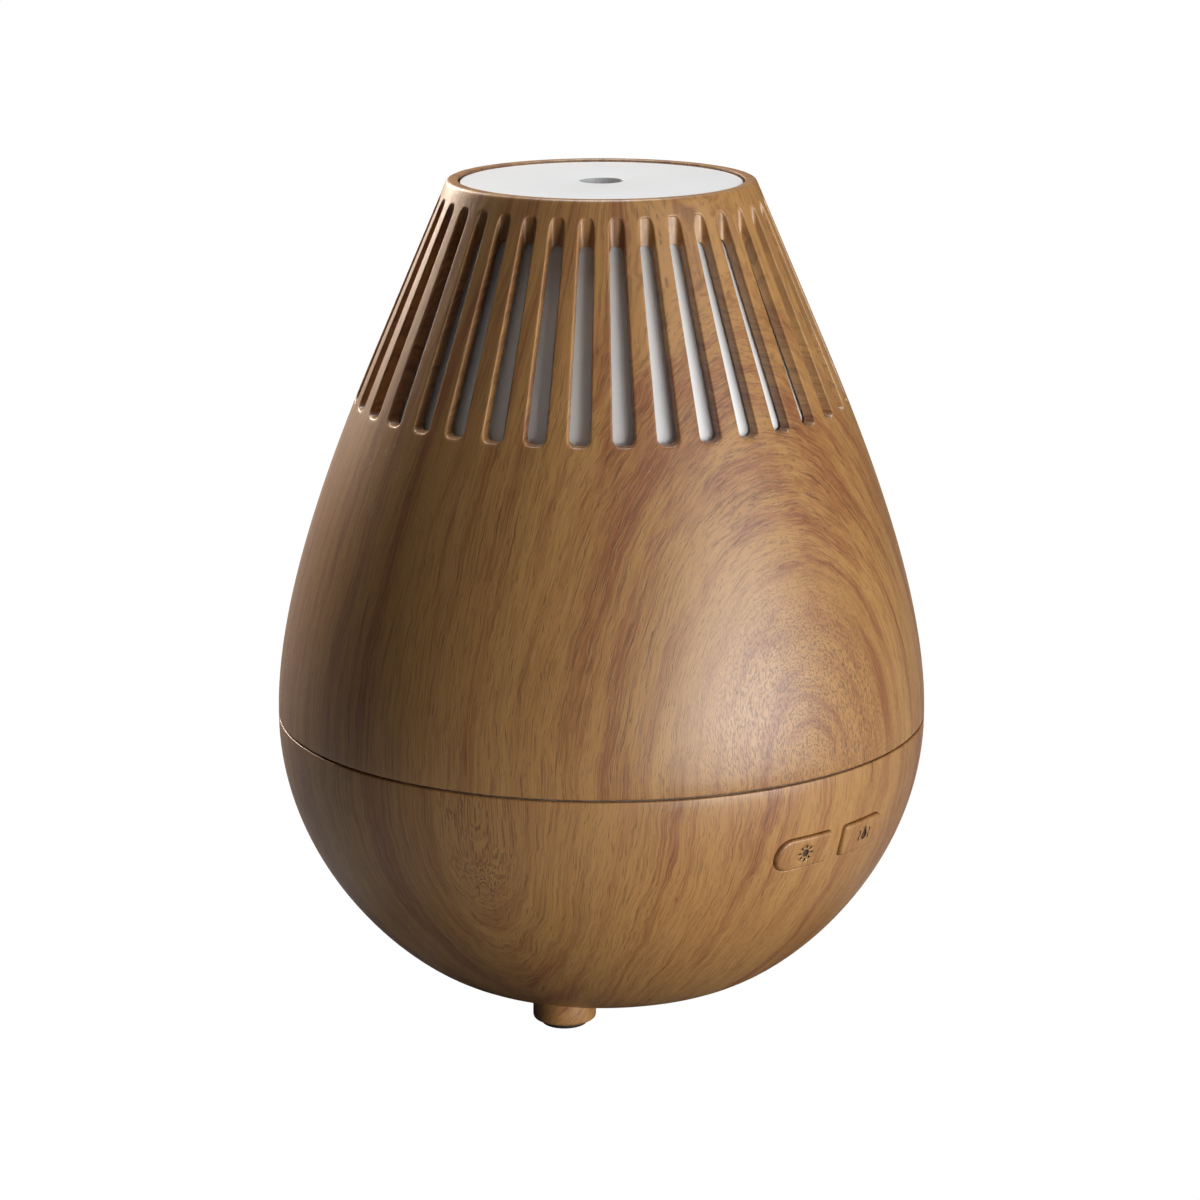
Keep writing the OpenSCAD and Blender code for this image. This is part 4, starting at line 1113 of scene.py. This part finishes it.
@dataclass
class Button:
    """One push button: face, inner flange, stem and pictogram."""

    side: int
    sink: float = -0.7
    flange_in: float = 2.9
    flange_out: float = 3.8
    flange_grow: float = 1.05
    easing: float = 0.5
    stem: float = 1.6
    mark_depth: float = 0.3

    def build(self) -> Draft:
        """Builds the button without its pictogram."""
        draft = Draft()
        e = self.easing

        def lay(grow: float, inset: float) -> Points:
            """The outline grown by that much, laid at that inset."""
            return BUTTON.on_wall(grow, inset, self.side)

        rows = [lay(-2.75, self.sink), lay(-1.9, self.sink), lay(-1.0, self.sink),
                lay(-e, self.sink), lay(-0.5 * e, self.sink + 0.13 * e),
                lay(-0.13 * e, self.sink + 0.5 * e), lay(0.0, self.sink + e),
                lay(0.0, self.flange_in), lay(self.flange_grow, self.flange_in),
                lay(self.flange_grow, self.flange_out), lay(-1.5, self.flange_out),
                lay(-2.75, self.flange_out)]
        draft.sheet(np.stack(rows), around=True)
        draft.zip_fill(rows[0], BUTTON.wide, BUTTON.tall)
        draft.zip_fill(rows[-1], BUTTON.wide, BUTTON.tall)
        x = self.side * (BUTTON.near + BUTTON.far) / 2
        front = -math.sqrt((BODY.base.radius(BUTTON.height) - self.flange_out) ** 2 - x * x)
        draft.bar(eased([(0, -0.8), (self.stem, -0.8), (self.stem, 0.6, 0.2), (0, 0.6)]),
                  (x, front, BUTTON.height), "y", 24)
        return draft

    def mark_shapes(self) -> list[Points]:
        """Outlines of the pictogram about its own middle: a sun, or a drop between waves."""
        turn = np.linspace(0, 2 * math.pi, 25)[:-1]
        if self.side < 0:
            shapes = [np.stack([0.72 * np.cos(turn), 0.72 * np.sin(turn)], 1)]
            ray = np.array([[1.02, -0.16], [1.62, -0.16], [1.62, 0.16], [1.02, 0.16]])
            for a in range(0, 360, 45):
                c, s = math.cos(math.radians(a)), math.sin(math.radians(a))
                shapes.append(ray @ np.array([[c, s], [-s, c]]))
            return shapes
        belly = np.radians(np.linspace(-205, 25, 18))
        drop = np.stack([0.82 * np.cos(belly), -0.25 + 0.82 * np.sin(belly)], 1)
        shapes = [np.vstack([drop, [[0.0, 1.65]]])]
        z = np.linspace(-1.15, 1.05, 9)
        for side in (-1, 1):
            x = side * 1.5 + 0.16 * np.sin(z * 3.0)
            shapes.append(np.vstack([np.stack([x + 0.15, z], 1),
                                     np.stack([x - 0.15, z], 1)[::-1]]))
        return shapes

    def engrave(self, made: bpy.types.Object, dark: bpy.types.Material) -> None:
        """Cuts the pictogram into the button's face.

        Args:
            made: the button.
            dark: finish of the cut, much darker than the face as painted shade in the engraving.
        """
        x0 = self.side * (BUTTON.near + BUTTON.far) / 2
        cutter = Draft()
        for shape in self.mark_shapes():
            at = shape + np.array([x0, BUTTON.height])
            r = BODY.base.radius(at[:, 1], self.sink + self.mark_depth)
            deep = np.stack([at[:, 0], -np.sqrt(r ** 2 - at[:, 0] ** 2), at[:, 1]], 1)
            out = deep - np.array([0.0, 1.5, 0.0])
            cutter.sheet(np.stack([out, deep]), around=True)
            cutter.cap(out)
            cutter.cap(deep)
        tool = cutter.piece("mark_cutter", [dark])
        cut = made.modifiers.new("mark", "BOOLEAN")
        cut.operation, cut.object, cut.solver = "DIFFERENCE", tool, "EXACT"
        # The cut's faces take the dark finish: painted shade in the engraving.
        cut.material_mode = "TRANSFER"
        graph = bpy.context.evaluated_depsgraph_get()
        made.data = bpy.data.meshes.new_from_object(made.evaluated_get(graph))
        made.modifiers.clear()
        bpy.data.objects.remove(tool)


@dataclass
class BaseShell:
    """The round base with its button openings, jack recess, feet and inner posts."""

    hole: float = 18.0
    rebate: tuple[float, float] = (61.2, 52.675)
    button_low: float = 36.2
    button_high: float = 46.0
    opening_grow: float = 0.13
    jack_height: float = 20.4
    jack_low: float = 12.4
    jack_high: float = 28.4
    jack_floor: float = 44.04
    jack_sizes: tuple[float, float, float] = (5.5, 4.0, 6.8)
    foot_circle: float = 27.2
    foot_radius: float = 6.0
    foot_turns: tuple[int, ...] = (60, 180, 300)
    fan_reach: float = 16.0
    board_posts: tuple[tuple[float, float], ...] = ((-9.0, 48.125), (9.0, 48.125),
                                                    (0.0, 34.725))
    steps: int = 12

    def jack_port(self) -> Port:
        """The recess at the back with the hole for the jack's barrel."""
        recess, barrel, cup = self.jack_sizes
        wide = 20
        turns = np.radians(np.concatenate([
            np.linspace(225, 315, wide, endpoint=False),
            np.linspace(315, 405, self.steps, endpoint=False),
            np.linspace(45, 135, wide, endpoint=False),
            np.linspace(135, 225, self.steps, endpoint=False)]))
        side, up = np.cos(turns), np.sin(turns)

        def ring(radius: float, y: float) -> Points:
            """A circle across the jack's axis; seen from behind, it runs the same way."""
            return np.stack([-side * radius, np.full(len(side), y),
                             self.jack_height + up * radius], 1)

        def laid(radius: float, inset: float) -> Points:
            """The circle laid on the turned face, as (angle, height) rows."""
            at = ring(radius, 0.0)
            r = BODY.base.radius(at[:, 2], inset)
            return np.stack([math.pi - np.arcsin(at[:, 0] / r), at[:, 2]], 1)

        floor, back = self.jack_floor, self.jack_floor - 2.0
        columns = np.radians(np.linspace(170, 190, wide + 1))
        rows = np.linspace(self.jack_low, self.jack_high, self.steps + 1)
        return Port(BODY.base, BODY.base_wall, laid(recess, 0.0), laid(cup, BODY.base_wall),
                    columns, rows, rows, 0.4,
                    (ring(recess, floor), ring(barrel, floor), ring(barrel, back),
                     ring(cup, back)))

    def build(self) -> Draft:
        """Builds the base."""
        draft = Draft()
        outline, wall = BODY.base, BODY.base_wall
        rows = np.linspace(self.button_low, self.button_high, self.steps + 1)
        columns = np.radians(np.arange(0, BUTTON.wide + 1))
        for side in (-1, 1):
            Port(outline, wall, BUTTON.as_angles(self.opening_grow, 0.0, side),
                 BUTTON.as_angles(self.opening_grow, wall, side), side * columns, rows, rows,
                 0.22).build(draft)
        self.jack_port().build(draft)
        holes = [Hole(self.button_low, self.button_high, 0, BUTTON.wide),
                 Hole(self.button_low, self.button_high, 360 - BUTTON.wide, 360),
                 Hole(self.jack_low, self.jack_high, 170, 190)]
        jack = np.linspace(self.jack_low, self.jack_high, self.steps + 1)
        between = np.linspace(self.jack_high, self.button_low, 8)[1:-1]
        high = np.linspace(self.button_high, 53.0, 8)[1:]
        angle = np.radians(np.arange(360))

        def turn(profile: Points, cut: bool = False) -> None:
            """Turns a profile in steps of a degree."""
            draft.sheet(polar(angle[None, :], profile[:, :1], profile[:, 1:2]), True,
                        holes=holes if cut else ())

        def climb(inset: float) -> Points:
            """Rows of the wall from the flat underside to just below the rim."""
            curve = outline.points(inset)
            low = curve[curve[:, 1] < self.jack_low - 0.25][::6]
            heights = np.concatenate([jack, between, rows, high])
            return np.vstack([low, np.stack([outline.radius(heights, inset), heights], 1)])

        outer, inner = climb(0.0), climb(wall)
        turn(outer, True)
        turn(inner, True)
        rim_r, rim_z = self.rebate
        top = BODY.base_top
        turn(eased([(*outer[-1],), (BODY.radius, top, 0.3), (rim_r, top, 0.2),
                    (rim_r, rim_z, 0.15), (BODY.radius - wall, rim_z, 0.2), (*inner[-1],)]))
        edge = [(*outer[0],), (self.hole, BODY.underside, 0.4), (self.hole, BODY.floor, 0.2),
                (*inner[0],)]
        turn(eased(edge))
        self.build_feet(draft)
        self.build_posts(draft)
        return draft

    def build_feet(self, draft: Draft) -> None:
        """Adds the three feet with their pad recess and screw passage."""
        profile = eased([(1.7, 7.1), (1.7, 5.6, 0.1), (3.2, 5.6, 0.1), (3.2, 1.9, 0.1),
                         (4.5, 1.9, 0.1), (4.5, 1.1, 0.15), (self.foot_radius, 1.1, 0.7),
                         (self.foot_radius, 7.1, 0.3), (1.7, 7.1)], 5)
        angle = np.linspace(0, 2 * math.pi, 64, endpoint=False)
        for degrees in self.foot_turns:
            a = math.radians(degrees)
            centre = np.array([self.foot_circle * math.sin(a), -self.foot_circle * math.cos(a),
                               0.0])
            at = polar(angle[None, :], profile[:-1, :1], profile[:-1, 1:2]) + centre
            draft.sheet(at, True, True)

    def build_posts(self, draft: Draft) -> None:
        """Adds the fan's bosses and the switch board's posts."""
        for x in (-self.fan_reach, self.fan_reach):
            for y in (-self.fan_reach, self.fan_reach):
                draft.bar(eased([(1.4, 5.5), (2.6, 5.5), (2.6, 8.4, 0.25), (1.4, 8.4, 0.1),
                                 (1.4, 5.5)]), (x, y, 0.0), columns=28)
        for x, z in self.board_posts:
            start = -math.sqrt((BODY.base.radius(z) - 2.0) ** 2 - x * x)
            end = float(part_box("switch_board")[0].y) / MM
            draft.bar(eased([(0.0, start), (2.2, start), (2.2, end, 0.2), (1.2, end, 0.1),
                             (1.2, end - 3.8), (0.0, end - 3.8)]), (x, 0.0, z), "y", 28)


@dataclass
class FootPads:
    """Rubber pads under the feet."""

    radius: float = 4.4
    height: float = 1.9

    def build(self) -> Draft:
        """Builds the three pads."""
        draft = Draft()
        shell = BaseShell()
        for degrees in shell.foot_turns:
            a = math.radians(degrees)
            at = (shell.foot_circle * math.sin(a), -shell.foot_circle * math.cos(a), 0.0)
            draft.bar(eased([(0, 0.12), (2.6, 0.12, 0.1), (3.0, 0.0, 0.1),
                             (self.radius, 0.0, 0.45), (self.radius, self.height, 0.15),
                             (0, self.height)], 4), at, columns=48)
        return draft


class Base(Assembly):
    """The base, its feet and its two buttons."""

    def build(self) -> None:
        """Builds and dresses the base's pieces."""
        wood = Slot.WOOD_BASE.value.material(self.groups)
        rubber = Slot.RUBBER.value.material(self.groups)
        # Dark wood colours for the pictogram's cut: painted shade.
        dark = Slot.MARK_SHADE.value.material(self.groups)
        shell = BaseShell().build().piece("base_shell", [wood])
        self.dress(shell, "base", "wood_film", "base_bowl")
        self.dress(FootPads().build().piece("foot_pad_set", [rubber]), "base", "rubber",
                   "foot_pads")
        for side, name, node, body in ((-1, "light_push", "light_button", "light_key"),
                                       (1, "mist_push", "mist_button", "mist_key")):
            button = Button(side)
            made = button.build().piece(name, [wood])
            button.engrave(made, dark)
            self.dress(made, body, "wood_film", node)


# ---------------------------------------------------------------- carried-over solids

class CarriedSolids(Assembly):
    """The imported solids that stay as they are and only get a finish."""

    def dress_all(self) -> None:
        """Gives each solid the finish of its slot in the record."""
        slot_of = {row["node"]: row["material_slot"] for row in self.frame["record"]["subparts"]}
        for name, solid in self.frame["nodes"].items():
            if solid.hide_render:
                continue
            material = RECORD_SLOTS[slot_of[name]].value.material(self.groups)
            solid.data.materials.clear()
            solid.data.materials.append(material)
            log.info("%s keeps its solid, finish %s", name, material.name)


# ---------------------------------------------------------------- studio

@dataclass
class Lamp:
    """One soft panel light aimed at the object."""

    name: str
    azimuth: float
    distance: float
    height: float
    width: float
    tall: float
    power: float
    colour: Colour = (1.0, 1.0, 1.0)

    def build(self) -> None:
        """Places the lamp."""
        data = bpy.data.lights.new(self.name, "AREA")
        data.shape, data.size, data.size_y = "RECTANGLE", self.width, self.tall
        data.energy, data.color = self.power, self.colour
        lamp = bpy.data.objects.new(self.name, data)
        a = math.radians(self.azimuth)
        lamp.location = (self.distance * math.sin(a), -self.distance * math.cos(a), self.height)
        aim = Vector((0.0, 0.0, 0.08)) - lamp.location
        lamp.rotation_euler = aim.to_track_quat("-Z", "Y").to_euler()
        bpy.context.scene.collection.objects.link(lamp)


@dataclass
class Studio:
    """Floor, lamps, surroundings and camera."""

    lens: float = 111.33
    away: float = 0.69381
    eye: float = 0.25364
    pitch: float = 14.333
    shift: float = -0.00125
    lamps: tuple[Lamp, ...] = (
        Lamp("key_panel", 8.0, 1.1, 0.25, 0.72, 0.5, 6.6, (0.96, 0.98, 1.0)),
        Lamp("low_panel", 0.0, 0.6, 0.05, 0.5, 0.08, 2.2, (1.0, 0.97, 0.92)),
        Lamp("rim_panel", -188.0, 0.85, 0.48, 0.30, 0.5, 8.0, (1.0, 0.84, 0.70)),
        Lamp("top_panel", 135.0, 0.3, 1.1, 0.4, 0.4, 9.2, (0.95, 0.98, 1.0)))

    def build(self) -> None:
        """Builds everything that isn't the object."""
        self.build_camera()
        self.build_floor()
        for lamp in self.lamps:
            lamp.build()
        world = bpy.data.worlds.new("surroundings")
        world.use_nodes = True
        sky = world.node_tree.nodes["Background"]
        sky.inputs[0].default_value = (1.0, 1.0, 1.0, 1.0)
        wiring = Wiring(world.node_tree)
        seen = wiring.node("LightPath").outputs["Is Camera Ray"]
        wiring.put(sky.inputs[1], wiring.math("MAXIMUM", seen, 0.02))
        bpy.context.scene.world = world
        bpy.context.scene.view_settings.view_transform = "Standard"

    def build_camera(self) -> None:
        """Places the camera at the front left, looking a little down."""
        data = bpy.data.cameras.new("view")
        data.lens, data.sensor_width, data.shift_x = self.lens, 36.0, self.shift
        data.clip_start = 0.01
        camera = bpy.data.objects.new("view", data)
        side = self.away * math.sin(math.radians(45))
        camera.location = (-side, -side, self.eye)
        camera.rotation_euler = (math.radians(90 - self.pitch), 0.0, math.radians(-45))
        bpy.context.scene.collection.objects.link(camera)
        bpy.context.scene.camera = camera

    def build_floor(self) -> None:
        """A plain pale floor that runs far behind the object."""
        draft = Draft()
        r = np.array([0.0, 60, 160, 400, 900, 1800, 3200, 5200, 7000.0])
        angle = np.linspace(0, 2 * math.pi, 96, endpoint=False)
        draft.sheet(polar(angle[None, :], r[1:, None], np.zeros((len(r) - 1, 1))), True)
        draft.cap(polar(angle, r[1], 0.0))
        floor = draft.piece("floor", [self.floor_material()])

    @staticmethod
    def floor_material() -> bpy.types.Material:
        """Pale matt paper that stays evenly white."""
        made = bpy.data.materials.new("pale_floor")
        made.use_nodes = True
        made.node_tree.nodes.clear()
        wiring = Wiring(made.node_tree)
        matt = wiring.node("BsdfDiffuse", {"Color": (0.22, 0.22, 0.22)})
        glow = wiring.node("Emission", {"Color": (1.0, 1.0, 1.0), "Strength": 1.06})
        seen = wiring.node("LightPath").outputs["Is Camera Ray"]
        share = wiring.math("MULTIPLY", seen, 0.94)
        both = wiring.node("MixShader", {0: share, 1: matt.outputs[0], 2: glow.outputs[0]})
        leave = wiring.node("OutputMaterial")
        wiring.put(leave.inputs["Surface"], both.outputs[0])
        return made


def main() -> None:
    """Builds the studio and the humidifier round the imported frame."""
    logging.basicConfig(level=logging.INFO, format="%(message)s")
    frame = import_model()
    Studio().build()
    groups = Groups()
    Cover(frame, groups).build()
    Base(frame, groups).build()
    CarriedSolids(frame, groups).dress_all()


if __name__ == "__main__":
    main()
